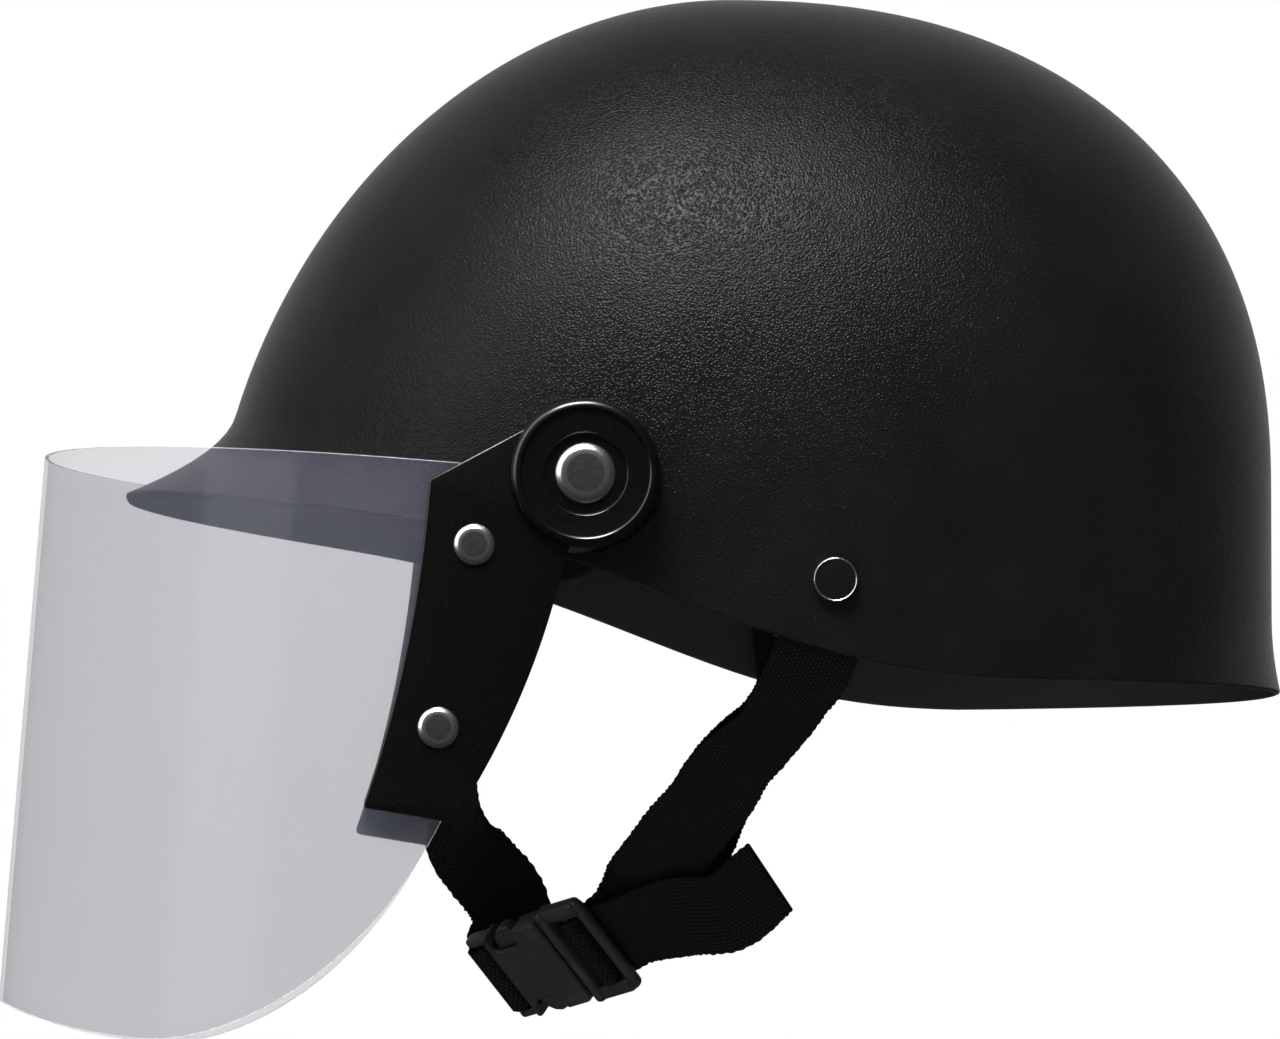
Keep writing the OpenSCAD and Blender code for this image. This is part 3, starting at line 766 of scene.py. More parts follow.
def dress(piece: bpy.types.Object, body: Body | None, finishes: Sequence[Finish], node: str) -> None:
    """Gives a piece its finishes, its body and the CAD node that it stands for.

    Args:
        piece: The piece.
        body: The body that it rides on, or none, which leaves it unattached.
        finishes: The finish of each material slot.
        node: The CAD node that it replaces.
    """
    for finish in finishes:
        piece.data.materials.append(finish.material())
    if body:
        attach(piece, body.value)
    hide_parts(node)
    home = body.value if body else "two bodies"
    LOG.info("%s on %s: %d faces", piece.name, home, len(piece.data.polygons))


# The shell and its pads


@dataclass(frozen=True)
class Shell:
    """The moulded shell: its outer surface in closed form, and its piece."""

    half_width: float = 108.0
    side_base: float = 35.0
    side_power: float = 2.2
    front: float = 127.0
    front_base: float = 20.0
    front_power: float = 1.95
    rear: float = 131.0
    rear_base: float = 50.0
    rear_power: float = 2.3
    top: float = 168.2
    wall: float = 2.0
    brim: float = 22.0
    brim_sweep: float = 19.0
    brim_spread: float = 68.0
    nape: float = 2.1
    nape_sweep: float = 18.0
    rim_low: float = 0.0
    rim_high: float = 48.0
    rim_turn: float = 62.0
    rim_wave: float = 0.14
    plan: float = 2.2
    columns: int = 180
    rows: int = 64

    def dome(self, z: np.ndarray, base: float, power: float) -> np.ndarray:
        """Gives how far a section reaches at a height, as a share of its base."""
        share = np.clip((z - base) / (self.top - base), 0.0, 1.0)
        return (1.0 - share**power).clip(0.0) ** (1.0 / power)

    def reach(self, ahead: np.ndarray, z: np.ndarray) -> np.ndarray:
        """Gives the half length at a height, to the forehead where ahead holds and else to the rear."""
        front = self.front * self.dome(z, self.front_base, self.front_power)
        return np.where(ahead, front, self.rear * self.dome(z, self.rear_base, self.rear_power))

    def breadth(self, z: np.ndarray) -> np.ndarray:
        """Gives the half width at a height."""
        return self.half_width * self.dome(z, self.side_base, self.side_power)

    def plan_at(self, turn: np.ndarray, z: np.ndarray) -> tuple[np.ndarray, np.ndarray]:
        """Gives X and Y of the plain section at a height, at an azimuth in degrees from the forehead."""
        a = np.radians(turn)
        sine, cosine = np.sin(a), np.cos(a)
        power = 2.0 / self.plan
        x = np.sign(sine) * np.abs(sine) ** power * self.breadth(z)
        y = -np.sign(cosine) * np.abs(cosine) ** power * self.reach(cosine > 0, z)
        return x, y

    def side_x(self, y: float, z: float) -> float:
        """Gives X of the outer surface beside the head."""
        length = float(self.reach(np.array(y < 0), np.array(z)))
        return float(self.breadth(np.array(z))) * (1.0 - (abs(y) / length) ** self.plan) ** (1.0 / self.plan)

    def rim(self, turn: np.ndarray) -> np.ndarray:
        """Gives the height of the rim at an azimuth."""
        _, y = self.plan_at(turn, np.zeros_like(turn))
        u = ((self.rim_turn - y) / (self.rim_turn + self.front)).clip(0.0)
        share = u.clip(None, 1.0)
        curve = u - self.rim_wave * np.sin(2.0 * math.pi * share) * (1.0 - share)
        return self.rim_low + (self.rim_high - self.rim_low) * curve

    def skin(self, turn: np.ndarray, s: np.ndarray) -> np.ndarray:
        """Gives points of the outer surface.

        Args:
            turn: Azimuths from the forehead, in degrees.
            s: Shares of the way from the rim to the crown.

        Returns:
            Points, with X, Y and Z on the last axis.
        """
        low = self.rim(turn)
        z = low + (self.top - low) * np.sin(s * math.pi / 2.0)
        x, y = self.plan_at(turn, z)
        a = np.abs((turn + 180.0) % 360.0 - 180.0)
        bow = self.brim * np.cos(np.radians(90.0 * a / self.brim_spread)) ** 2
        brim = np.where(a < self.brim_spread, bow, 0.0)
        nape = np.where(a > 90.0, self.nape * np.cos(np.radians(a)) ** 2, 0.0)
        out = brim * (1.0 - (z - low) / self.brim_sweep).clip(0.0) ** 2
        out = out + nape * (1.0 - (z - low) / self.nape_sweep).clip(0.0) ** 2
        wide = 1.0 + out / np.hypot(x, y).clip(0.02)
        return np.stack([x * wide, y * wide, z], axis=-1)

    def under(self, turn: np.ndarray, s: np.ndarray, depth: np.ndarray | float) -> np.ndarray:
        """Gives points at a depth under the outer surface.

        Args:
            turn: Azimuths from the forehead, in degrees.
            s: Shares of the way from the rim to the crown.
            depth: Depth square to the surface.

        Returns:
            Points, with X, Y and Z on the last axis.
        """
        along = self.skin(turn + 1.0, s) - self.skin(turn - 1.0, s)
        up = self.skin(turn, (s + 0.004).clip(None, 1.0)) - self.skin(turn, (s - 0.004).clip(0.0))
        normal = np.cross(along, up)
        normal = normal / np.linalg.norm(normal, axis=-1, keepdims=True).clip(1e-9)
        normal[s > 0.995] = (0.0, 0.0, 1.0)
        return self.skin(turn, s) - normal * np.asarray(depth)[..., None]

    def build(self) -> None:
        """Builds the shell's piece: outer skin, rounded rim, inner skin and the raised hubs."""
        form = Form()
        share = (np.arange(self.rows) / self.rows) ** 1.15
        turns = np.linspace(0.0, 360.0, self.columns, endpoint=False)
        turn, s = np.meshgrid(turns, share)
        outer = self.skin(turn, s)
        inner = self.under(turn, s, self.wall)
        crowns = [np.tile((0.0, 0.0, self.top - d), (1, self.columns, 1)) for d in (self.wall, 0.0)]
        form.grid(np.concatenate([crowns[0], inner[::-1], outer, crowns[1]]), ring=True)
        inside = self.rows * self.columns
        form.slots[:inside] = [1] * inside
        pivot, strap = Pivot(), StrapMount()
        for side in Side:
            self.hub(form, pivot, side, pivot.hub_radius, pivot.hub_inner, pivot.hub_outer)
            self.hub(form, strap, side, strap.hub_radius, strap.hub_inner, strap.hub_outer)
        for side in Side:
            self.hub(form, strap, side, strap.seat_radius, strap.seat, strap.hub_inner)
        piece = form.piece("moulded_shell", 0.55, 50.0)
        dress(piece, Body.HELMET, [SHELL_PLASTIC, SHELL_INSIDE], "shell")

    @staticmethod
    def hub(
        form: Form, mount: "Pivot | StrapMount", side: Side, radius: float, low: float, high: float
    ) -> None:
        """Raises a hub at a mount.

        Args:
            form: The shell's form.
            mount: What the hub carries.
            side: Which side it is on.
            radius: Its radius.
            low: X of its inner face.
            high: X of its outer face.
        """
        profile = [(0.0, low), (radius, low), (radius, high), (0.0, high)]
        form.lathe(profile, (0.0, mount.y, mount.z), side, 72)


SHELL = Shell()


@dataclass(frozen=True)
class Pivot:
    """The visor's pivot, and the places along X of what is stacked on it."""

    y: float = -38.6
    z: float = 46.4
    hub_radius: float = 14.0
    boss_radius: float = 17.3
    boss_draft: float = 0.8
    washer: float = 1.0
    fit: float = 0.1

    @property
    def hub_outer(self) -> float:
        """Outer face of the shell's hub."""
        return SHELL.side_x(self.y + self.boss_radius + self.boss_draft, SHELL.side_base) + self.fit

    @property
    def hub_inner(self) -> float:
        """Inner face of the shell's hub."""
        return SHELL.side_x(self.y - self.hub_radius, SHELL.side_base) - SHELL.wall / 2.0


@dataclass(frozen=True)
class StrapMount:
    """A strap's rivet, and the places along X of what is stacked on it."""

    y: float = 19.8
    z: float = 22.5
    head: float = 5.1
    hub_radius: float = 5.5
    seat_radius: float = 7.0
    seat_back: float = 16.0
    thick: float = 1.4
    fit: float = 0.1
    gap: float = 0.3

    @property
    def hub_outer(self) -> float:
        """Outer face of the flat that the head rests on."""
        return SHELL.side_x(self.y - self.hub_radius, self.z) + self.fit

    @property
    def hub_inner(self) -> float:
        """Where the outer hub meets the inner one, in the wall."""
        return SHELL.side_x(self.y + self.hub_radius, self.z) - SHELL.wall / 2.0

    @property
    def seat(self) -> float:
        """Inner face of the inner hub, against the webbing."""
        return SHELL.side_x(self.y + self.seat_back, self.z) - SHELL.wall - 2.0 * self.gap

    @property
    def strap_x(self) -> float:
        """Middle of the webbing."""
        return self.seat - self.fit - self.thick / 2.0


@dataclass(frozen=True)
class Pad:
    """A glued foam pad: covered foam, blown up between its glued back and its seams."""

    name: str
    turn: Pair = (0.0, 360.0)
    share: Pair = (0.8, 1.0)
    thick: float = 8.0
    edge: float = 2.5
    channels: int = 3
    columns: int = 48
    rows: int = 18
    puff: float = 1.6

    @property
    def disc(self) -> bool:
        """Whether the pad is the round one under the crown."""
        return self.share[1] >= 1.0

    def layout(self) -> tuple[np.ndarray, np.ndarray, np.ndarray, np.ndarray]:
        """Lays the pad out.

        Returns:
            Azimuth, share of height, thickness and whether a seam runs there, by row and column.
        """
        u = np.linspace(0.0, 1.0, self.columns + (0 if self.disc else 1), endpoint=not self.disc)
        v = np.linspace(0.0, 0.96 if self.disc else 1.0, self.rows + 1)
        uu, vv = np.meshgrid(u, v)
        turn = self.turn[0] + (self.turn[1] - self.turn[0]) * uu
        s = self.share[0] + (self.share[1] - self.share[0]) * vv
        if self.disc:
            swell = 1.0 - (1.0 - vv) ** 3
            seam = vv < 0.01
        else:
            swell = (1.0 - np.abs(2.0 * uu - 1.0) ** 3) * (1.0 - np.abs(2.0 * vv - 1.0) ** 3)
            step = np.abs((uu * self.channels) % 1.0 - 0.5)
            seam = (np.minimum(uu, vv) < 0.01) | (np.maximum(uu, vv) > 0.99)
            seam = seam | (step > 0.5 - self.channels / self.columns * 0.6)
            swell = swell * np.where(seam, 0.45, 1.0)
        return turn, s, self.edge + (self.thick - self.edge - self.puff) * swell, seam

    def build(self) -> None:
        """Builds the pad's piece and blows it up."""
        turn, s, thick, seam = self.layout()
        glue = SHELL.wall + 0.3
        back = SHELL.under(turn, s, glue)
        face = SHELL.under(turn, s, glue + thick)
        form = Form()
        if self.disc:
            depths = (glue, glue + self.thick - self.puff)
            middle = [np.tile((0.0, 0.0, SHELL.top - d), (1, self.columns, 1)) for d in depths]
            form.grid(np.concatenate([middle[0], back[::-1], face, middle[1]]), ring=True)
            free = [False] * (1 + back.shape[0]) + [True] * (face.shape[0] + 1)
            loose = np.repeat(free, self.columns).reshape(-1, self.columns)
            loose[1 + back.shape[0]] = False
        else:
            form.grid(back)
            form.grid(face)
            for end in (0, -1):
                form.grid(np.stack([back[end], face[end]]))
            for end in (0, -1):
                form.grid(np.stack([back[:, end], face[:, end]]))
            loose = np.concatenate([np.zeros(back[..., 0].size, bool), ~seam.ravel()])
        held = {tuple(round(c, 3) for c in p): free for p, free in zip(form.points, loose.ravel())}
        piece = form.piece(self.name + "_cover", sharp=70.0)
        self.inflate(piece, held)
        smooth = piece.modifiers.new("smooth", "SUBSURF")
        smooth.levels = smooth.render_levels = 1
        dress(piece, Body.HELMET, [FOAM], self.name)

    def inflate(self, piece: bpy.types.Object, held: dict[Triple, bool]) -> None:
        """Blows the pad up by cloth simulation, with its back and seams held.

        Args:
            piece: The pad.
            held: Whether a point may move, by its place in millimetres.
        """
        mesh = piece.data
        before = np.array([v.co[:] for v in mesh.vertices])
        keys = [tuple(round(c / METRE, 3) for c in p) for p in before]
        free = np.array([held.get(k, False) for k in keys])
        group = piece.vertex_groups.new(name="held")
        group.add([int(i) for i in np.flatnonzero(~free)], 1.0, "REPLACE")
        cloth = piece.modifiers.new("cloth", "CLOTH")
        settings = cloth.settings
        settings.vertex_group_mass = "held"
        settings.use_pressure = True
        settings.uniform_pressure_force = 4.0
        settings.effector_weights.gravity = 0.0
        settings.tension_stiffness = settings.compression_stiffness = 12.0
        settings.quality = 5
        scene = bpy.context.scene
        for number in range(1, 21):
            scene.frame_set(number)
        view = bpy.context.evaluated_depsgraph_get()
        blown = piece.evaluated_get(view).to_mesh()
        after = np.array([v.co[:] for v in blown.vertices])
        piece.modifiers.remove(cloth)
        move = after - before
        length = np.linalg.norm(move, axis=1, keepdims=True).clip(1e-9)
        move = move / length * np.minimum(length, self.puff * METRE)
        mesh.vertices.foreach_set("co", (before + np.where(free[:, None], move, 0.0)).ravel())
        mesh.update()
        scene.frame_set(1)


PADS = (
    Pad("brow_pad", (-46.0, 46.0), (0.12, 0.27), channels=5, columns=80, rows=16),
    Pad("rear_pad", (146.0, 214.0), (0.12, 0.3), channels=4, columns=64, rows=20),
    Pad("side_pad_left", (68.0, 116.0), (0.24, 0.42), channels=2, columns=44, rows=18),
    Pad("side_pad_right", (-116.0, -68.0), (0.24, 0.42), channels=2, columns=44, rows=18),
    Pad("crown_pad", columns=48, rows=10),
)


# The visor, its arms and the rivets


@dataclass(frozen=True)
class Visor:
    """The clear sheet, bent round an axis that leans forward at the bottom."""

    half_width: float = 115.5
    depth: float = 92.0
    thick: float = 1.0
    lean: float = 4.65
    middle: float = 131.6
    side_drop: float = 6.6
    back: float = 16.7
    corner_start: float = 101.8
    corner_run: float = 80.0
    corner_fall: float = 103.0
    back_height: float = 40.0
    origin: Pair = (-74.2, 49.55)

    def along(self, forward: np.ndarray, down: np.ndarray) -> tuple[np.ndarray, np.ndarray]:
        """Gives Y and Z of a place on the sheet, by its distance forward and down."""
        a = math.radians(self.lean)
        y = self.origin[0] - forward * math.cos(a) - down * math.sin(a)
        return y, self.origin[1] + forward * math.sin(a) - down * math.cos(a)

    def low(self, s: np.ndarray) -> np.ndarray:
        """Gives how far down the sheet reaches, by the distance round from its middle."""
        swing = np.radians(90.0 * s / self.corner_start).clip(0.0, math.pi / 2.0)
        side = self.middle + self.side_drop * np.sin(swing) ** 2
        fall = 1.0 - np.sqrt((1.0 - ((s - self.corner_start) / self.corner_run).clip(0.0) ** 2).clip(0.0))
        corner = self.middle + self.side_drop - self.corner_fall * fall
        return np.where(s < self.corner_start, side, corner).clip(self.back_height)

    def build(self, columns: int = 70, flat: int = 12, rows: int = 48) -> None:
        """Builds the sheet's piece.

        Args:
            columns: Columns from the middle to the start of the flat side.
            flat: Columns of the flat side.
            rows: Rows from the top to the bottom.
        """
        t = np.radians(np.linspace(0.0, 90.0, columns + 1))
        steps = np.hypot(self.half_width * np.diff(np.sin(t)), self.depth * np.diff(np.cos(t)))
        s = np.concatenate([[0.0], np.cumsum(steps)])
        tail = np.linspace(0.0, self.back, flat + 1)[1:]
        x = np.concatenate([self.half_width * np.sin(t), np.full(flat, self.half_width)])
        forward = np.concatenate([self.depth * np.cos(t), -tail])
        s = np.concatenate([s, s[-1] + tail])
        x, forward, s = (np.concatenate([k * a[:0:-1], a]) for a, k in ((x, -1.0), (forward, 1.0), (s, 1.0)))
        share = np.linspace(0.0, 1.0, rows + 1)[:, None]
        down = share * self.low(s)[None, :]
        y, z = self.along(np.broadcast_to(forward, down.shape), down)
        form = Form()
        form.grid(np.stack([np.broadcast_to(x, down.shape), y, z], axis=-1))
        piece = form.piece("clear_visor")
        wall = piece.modifiers.new("wall", "SOLIDIFY")
        wall.thickness, wall.offset, wall.use_even_offset = self.thick * METRE, -1.0, True
        wall.material_offset_rim = 1
        rounding = piece.modifiers.new("edge", "BEVEL")
        rounding.width, rounding.segments, rounding.limit_method = 0.28 * METRE, 2, "ANGLE"
        rounding.angle_limit = math.radians(50.0)
        middle = piece.data.polygons[len(piece.data.polygons) // 2]
        if middle.normal.dot(middle.center) < 0.0:
            piece.data.flip_normals()
        dress(piece, Body.SHIELD, [SHEET, SHEET_EDGE], "visor")


@dataclass(frozen=True)
class Arm:
    """A moulded arm: a flat plate with a stepped, cup-shaped boss round the pivot."""

    inner: float = 115.5
    plate: float = 3.0
    proud: float = 2.6
    recess: float = 9.6
    recess_depth: float = 1.6
    step: float = 14.5
    wall: float = 2.2
    web: float = 2.4
    tube: float = 6.2
    shank: float = 3.0
    corner: float = 3.0
    top: Pair = (-36.0, -1.4)
    tangent: Pair = (-12.0, 11.4)
    front_mid: Pair = (-39.1, -42.0)
    toe: Pair = (-51.4, -77.2)
    heel: Pair = (-26.0, -81.4)
    back_low: Pair = (-25.2, -72.0)
    back_mid: Pair = (-12.4, -50.0)
    back_top: Pair = (-6.2, -26.0)
    notch: Pair = (-4.0, -18.0)
    neck: Pair = (-1.5, -12.0)
    pivot: Pivot = field(default_factory=Pivot)

    @property
    def base(self) -> float:
        """Inner edge of the boss, against the friction washer."""
        return self.pivot.hub_outer + self.pivot.washer + self.pivot.fit

    @property
    def outer(self) -> float:
        """Outer face of the plate."""
        return self.inner + self.plate

    @property
    def seat(self) -> float:
        """Floor of the recess, under the pivot rivet's head."""
        return self.outer + self.proud - self.recess_depth

    def outline(self) -> list[Pair]:
        """Gives the plate's outline from the pivot, with its corners rounded."""

        def bend(a: Pair, b: Pair, c: Pair, ends: Pair, steps: int = 20) -> list[Triple]:
            """Gives a quadratic curve with a corner radius at each end."""
            points = []
            for k in range(steps + 1):
                t = k / steps
                weights = ((1 - t) ** 2, 2 * t * (1 - t), t * t)
                x, y = (sum(w * p[i] for w, p in zip(weights, (a, b, c))) for i in (0, 1))
                points.append((x, y, ends[0] if k == 0 else ends[1] if k == steps else 0.0))
            return points

        low = ((self.heel[0] + self.back_low[0]) / 2 + 2.0, (self.heel[1] + self.back_low[1]) / 2)
        corners = [(*self.neck, 0.0), (*self.tangent, 0.0)]
        corners += bend(self.top, self.front_mid, self.toe, (1.6, 0.0))[:-1] + [(*self.toe, self.corner)]
        corners += [(*self.heel, self.corner)] + bend(self.heel, low, self.back_low, (0.0, 0.0), 6)[1:]
        corners += bend(self.back_low, self.back_mid, self.back_top, (0.0, 0.0))[1:]
        return rounded(corners + [(*self.notch, 2.5)])

    def cup(self) -> list[Pair]:
        """Gives the boss's profile, from its inner edge outwards and in to the recess."""
        radius, draft = self.pivot.boss_radius, self.pivot.boss_draft
        top = self.outer + self.proud - self.base
        floor = top - self.recess_depth
        inner, soft, lip = radius - self.wall, 2.0, 0.45

        def arc(r: float, h: float, size: float, start: int, end: int, step: int) -> list[Pair]:
            """Gives an arc round a middle, between two angles in degrees."""
            angles = np.radians(np.arange(start, end, step))
            return [(r + size * math.cos(a), h + size * math.sin(a)) for a in angles]

        return [
            (self.shank + 0.1, 0.0), (self.tube, 0.0), (self.tube, floor - self.web),
            (inner, floor - self.web), (inner + draft, 0.0),
            (radius + draft - 0.25, 0.0), (radius + draft, 0.25),
            *arc(radius - soft, top - soft, soft, 0, 91, 10),
            (self.step + 0.75, top - 0.02), (self.step + 0.5, top - 0.2),
            (self.step + 0.36, top - 0.7), (self.step, top - 0.8),
            *arc(self.recess + lip, top - 0.35 - lip, lip, 90, 181, 15),
            (self.recess, floor + 0.25), (self.recess - 0.25, floor), (self.shank + 0.1, floor),
        ]

    def build(self, side: Side) -> None:
        """Builds the arm's piece on a side."""
        x, y, z = side.value * (self.inner + self.plate / 2), self.pivot.y, self.pivot.z
        place = Matrix(((0, 0, side.value, x), (1, 0, 0, y), (0, 1, 0, z), (0, 0, 0, 1)))
        plate = stamp("plate", [self.outline()], self.plate, 0.55, place)
        form = Form()
        form.lathe(self.cup(), (self.base, y, z), side, 144)
        name = f"visor_arm_{side.name.lower()}"
        piece = moulding(name + "_moulding", [plate, bare(form.piece("boss"))])
        dress(piece, Body.SHIELD, [ARM_PLASTIC], name)


@dataclass(frozen=True)
class Rivet:
    """A rivet with a cap, a shank and a clinched tail. Height 0 is under the cap."""

    head: float
    shank: float
    grip: float
    tail: float
    tail_height: float
    rimmed: bool = False

    def profile(self) -> tuple[list[Pair], int]:
        """Gives the profile and the number of the point where the cap's face starts."""
        head, grip, end = self.head, -self.grip, -self.grip - self.tail_height
        low = [
            (0.0, end), (self.tail * 0.7, end), (self.tail, grip - self.tail_height * 0.5), (self.tail, grip),
            (self.shank, grip), (self.shank, 0.0), (head - 0.15, 0.0), (head, 0.15),
        ]
        if self.rimmed:
            low += [(head, 1.05), (head - 0.06, 1.24), (head - 0.18, 1.31)]
            low += [(head - 0.3, 1.26), (head - 0.36, 1.12)]
            face = [(r * (head - 0.4), 1.1 + 0.4 * (1.0 - r * r)) for r in (1.0, 0.8, 0.6, 0.4, 0.2, 0.0)]
            return low + face, len(low)
        wide, steps = head * 0.21, 9
        low += [(head, 0.42), (head - 0.05, 0.52)]
        for k in range(steps):
            r, z = low[-1]
            slope = math.tan(math.radians(46.0 - 26.0 * k / steps))
            low.append((r - wide / steps, z + wide / steps * slope))
        rim, height = low[-1]
        crown = [(r * rim, height + 0.08 * (1.0 - r * r)) for r in (0.8, 0.6, 0.4, 0.2, 0.0)]
        return low + crown, len(low)

    def turned(self, form: Form, place: Triple, side: Side) -> None:
        """Adds the rivet to a form, with its cap resting at a place given for the left side."""
        profile, face = self.profile()
        form.lathe(profile, place, side, face=face)


@dataclass(frozen=True)
class Fasteners:
    """All the rivets, and the washers that keep their CAD solids."""

    arm: Arm = field(default_factory=Arm)
    strap: StrapMount = field(default_factory=StrapMount)
    sheet: float = 1.0
    washer: float = 1.0
    sheet_rivets: tuple[Pair, ...] = ((-25.6, -16.5), (-33.9, -58.8))
    fit: float = 0.1

    def build(self) -> None:
        """Builds the rivets and dresses the washers."""
        pivot, strap, fit = self.arm.pivot, self.strap, self.fit
        cap_x, strap_x = self.arm.seat + fit, strap.hub_outer + fit
        pivot_rivet = Rivet(7.0, 3.0, cap_x - pivot.hub_inner + pivot.washer + 2 * fit, 4.6, 1.4)
        strap_grip = strap_x - (strap.strap_x - strap.thick / 2 - fit) + self.washer + fit
        strap_rivet = Rivet(5.1, 2.2, strap_grip, 3.4, 1.2, rimmed=True)
        sheet_rivet = Rivet(4.75, 1.8, self.arm.plate + self.sheet + self.washer + 3 * fit, 2.9, 0.9)
        caps = Form()
        for side in Side:
            self.on_shell("pivot_rivet", pivot_rivet, (cap_x, pivot.y, pivot.z), side)
            self.on_shell("strap_rivet", strap_rivet, (strap_x, strap.y, strap.z), side)
            for y, z in self.sheet_rivets:
                sheet_rivet.turned(caps, (self.arm.outer + fit, pivot.y + y, pivot.z + z), side)
        # The caps' faces take the darker copy of the nickel, which is painted shade.
        dress(caps.piece("visor_rivet_caps", sharp=50.0), Body.SHIELD, [NICKEL, SHADED_CAP_FACE], "visor_rivets")
        for node, finish in (("pivot_washer", ZINC), ("strap_washer", ZINC), ("friction_washer", FIBRE)):
            for side in Side:
                self.keep(f"{node}_{side.name.lower()}", finish)
        self.keep("visor_rivet_washers", ZINC)

    @staticmethod
    def on_shell(node: str, rivet: Rivet, place: Triple, side: Side) -> None:
        """Builds one rivet on the shell.

        Args:
            node: The CAD node that it stands for, less its side.
            rivet: Its sizes.
            place: Where its cap rests, on the left side.
            side: Which side it is on.
        """
        form = Form()
        rivet.turned(form, place, side)
        name = f"{node}_{side.name.lower()}"
        # The cap's face takes a darker copy of the nickel, which is painted shade.
        finishes = [NICKEL, SHADED_MIRROR_FACE if rivet.rimmed else SHADED_CAP_FACE]
        dress(form.piece(name + "_cap", sharp=50.0), Body.HELMET, finishes, name)

    @staticmethod
    def keep(node: str, finish: Finish) -> None:
        """Dresses a CAD node that stays."""
        solid = frame["nodes"][node]
        solid.data.materials.clear()
        solid.data.materials.append(finish.material())
        LOG.info("%s keeps its CAD solid", node)


# The chin strap


@dataclass(frozen=True)
class BuckleFrame:
    """The buckle's own frame: u from the socket to the clip, v up across it, n out of its face."""

    at: Triple = (12.0, -44.0, -64.5)

    along: Triple = (0.70, 0.68, 0.20)
    facing: Triple = (0.61, -0.44, -0.65)

    @functools.cached_property
    def axes(self) -> np.ndarray:
        """Gives u, v and n as rows."""
        u = np.array(self.along) / np.linalg.norm(self.along)
        v = np.cross(self.facing, u)
        v = v / np.linalg.norm(v)
        return np.array((u, v, np.cross(u, v)))

    def place(self, u: float, n: float, v: float = 0.0) -> np.ndarray:
        """Gives the place of a point of the buckle's frame."""
        return np.array(self.at) + np.array((u, v, n)) @ self.axes

    def matrix(self) -> Matrix:
        """Gives the frame's place, for plates that lie in u and v."""
        u, v, n = self.axes
        return Matrix([[u[i], v[i], n[i], self.at[i]] for i in range(3)] + [[0, 0, 0, 1]])


BUCKLE = BuckleFrame()


def level(angle: float, x: float = 0.0) -> np.ndarray:
    """Gives a width direction at an angle to the level, seen from the wearer's left."""
    w = np.array((x, math.cos(math.radians(angle)), math.sin(math.radians(angle))))
    return w / np.linalg.norm(w)


Stop = tuple[np.ndarray, np.ndarray]


@dataclass(frozen=True)
class Strip:
    """A length of webbing swept through stops, each a place and a width direction."""

    stops: tuple[Stop, ...]
    width: float = 20.0
    thick: float = 1.4
    steps: int = 48
    row: float = 0.3
    tooth: float = 0.42
    pitch: float = 2.0

    @staticmethod
    def beyond(values: np.ndarray) -> np.ndarray:
        """Adds a value before the first and one after the last, each carried straight on."""
        return np.concatenate([[2 * values[0] - values[1]], values, [2 * values[-1] - values[-2]]])

    def path(self) -> tuple[np.ndarray, np.ndarray, np.ndarray]:
        """Gives the smooth middle line, its width directions and its distance along."""
        places = np.array([s[0] for s in self.stops])
        gaps = np.sqrt(np.linalg.norm(np.diff(self.beyond(places), axis=0), axis=1))

        def lift(a: np.ndarray, b: np.ndarray, ta: float, tb: float, t: float) -> np.ndarray:
            """Gives the value at a time between two timed values."""
            return ((tb - t) * a + (t - ta) * b) / (tb - ta)

        def smooth(values: np.ndarray) -> np.ndarray:
            """Gives a curve through values, timed by the distances between the places."""
            v, out = self.beyond(values), []
            for i in range(len(values) - 1):
                t1, t2, t3 = gaps[i], gaps[i] + gaps[i + 1], gaps[i] + gaps[i + 1] + gaps[i + 2]
                for k in range(self.steps):
                    t = t1 + gaps[i + 1] * k / self.steps
                    a = lift(v[i], v[i + 1], 0, t1, t)
                    b = lift(v[i + 1], v[i + 2], t1, t2, t)
                    c = lift(v[i + 2], v[i + 3], t2, t3, t)
                    out.append(lift(lift(a, b, 0, t2, t), lift(b, c, t1, t3, t), t1, t2, t))
            return np.array(out + [values[-1]])

        at, wide = smooth(places), smooth(np.array([s[1] for s in self.stops]))
        run = np.concatenate([[0.0], np.cumsum(np.linalg.norm(np.diff(at, axis=0), axis=1))])
        even = np.linspace(0.0, run[-1], int(run[-1] / self.row))
        at, wide = (np.stack([np.interp(even, run, a[:, k]) for k in range(3)], axis=1) for a in (at, wide))
        return at, wide, even

    def form(self) -> Form:
        """Builds the strip's form, with a selvedge that the picks notch."""
        at, wide, run = self.path()
        ahead = np.gradient(at, axis=0)
        ahead = ahead / np.linalg.norm(ahead, axis=1, keepdims=True)
        wide = wide - (wide * ahead).sum(1, keepdims=True) * ahead
        wide = wide / np.linalg.norm(wide, axis=1, keepdims=True)
        up = np.cross(ahead, wide)
        half, deep = self.width / 2.0, self.thick / 2.0
        flat = np.linspace(-half + 0.45, half - 0.45, 9)
        over = [(w, deep) for w in flat]
        over += [(half - 0.1, deep * 0.55), (half, 0.0), (half - 0.1, -deep * 0.55)]
        section = over + [(-w, -d) for w, d in over]
        uneven = 0.62 + 0.2 * np.sin(1.31 * run + 0.5) + 0.18 * np.sin(2.93 * run)
        teeth = np.abs(np.sin(math.pi * run / self.pitch)) * self.tooth * uneven + 0.12 * np.sin(run / 3.7)
        columns, runs = [], []
        for w, d in section:
            edge = np.sign(w) * (teeth - self.tooth) if abs(w) > half - 0.5 else 0.0 * run
            columns.append(at + (w + edge)[:, None] * wide + d * up)
            runs.append(np.stack([np.full_like(run, w + half), run, np.full_like(run, d)], axis=1))
        form = Form()
        body, marks = np.stack(columns, axis=1), np.stack(runs, axis=1)
        form.grid(body, ring=True, run=marks)
        for end in (0, -1):
            form.lid(body[end], flip=end == 0)
            form.run.extend(marks[end].tolist())
        return form


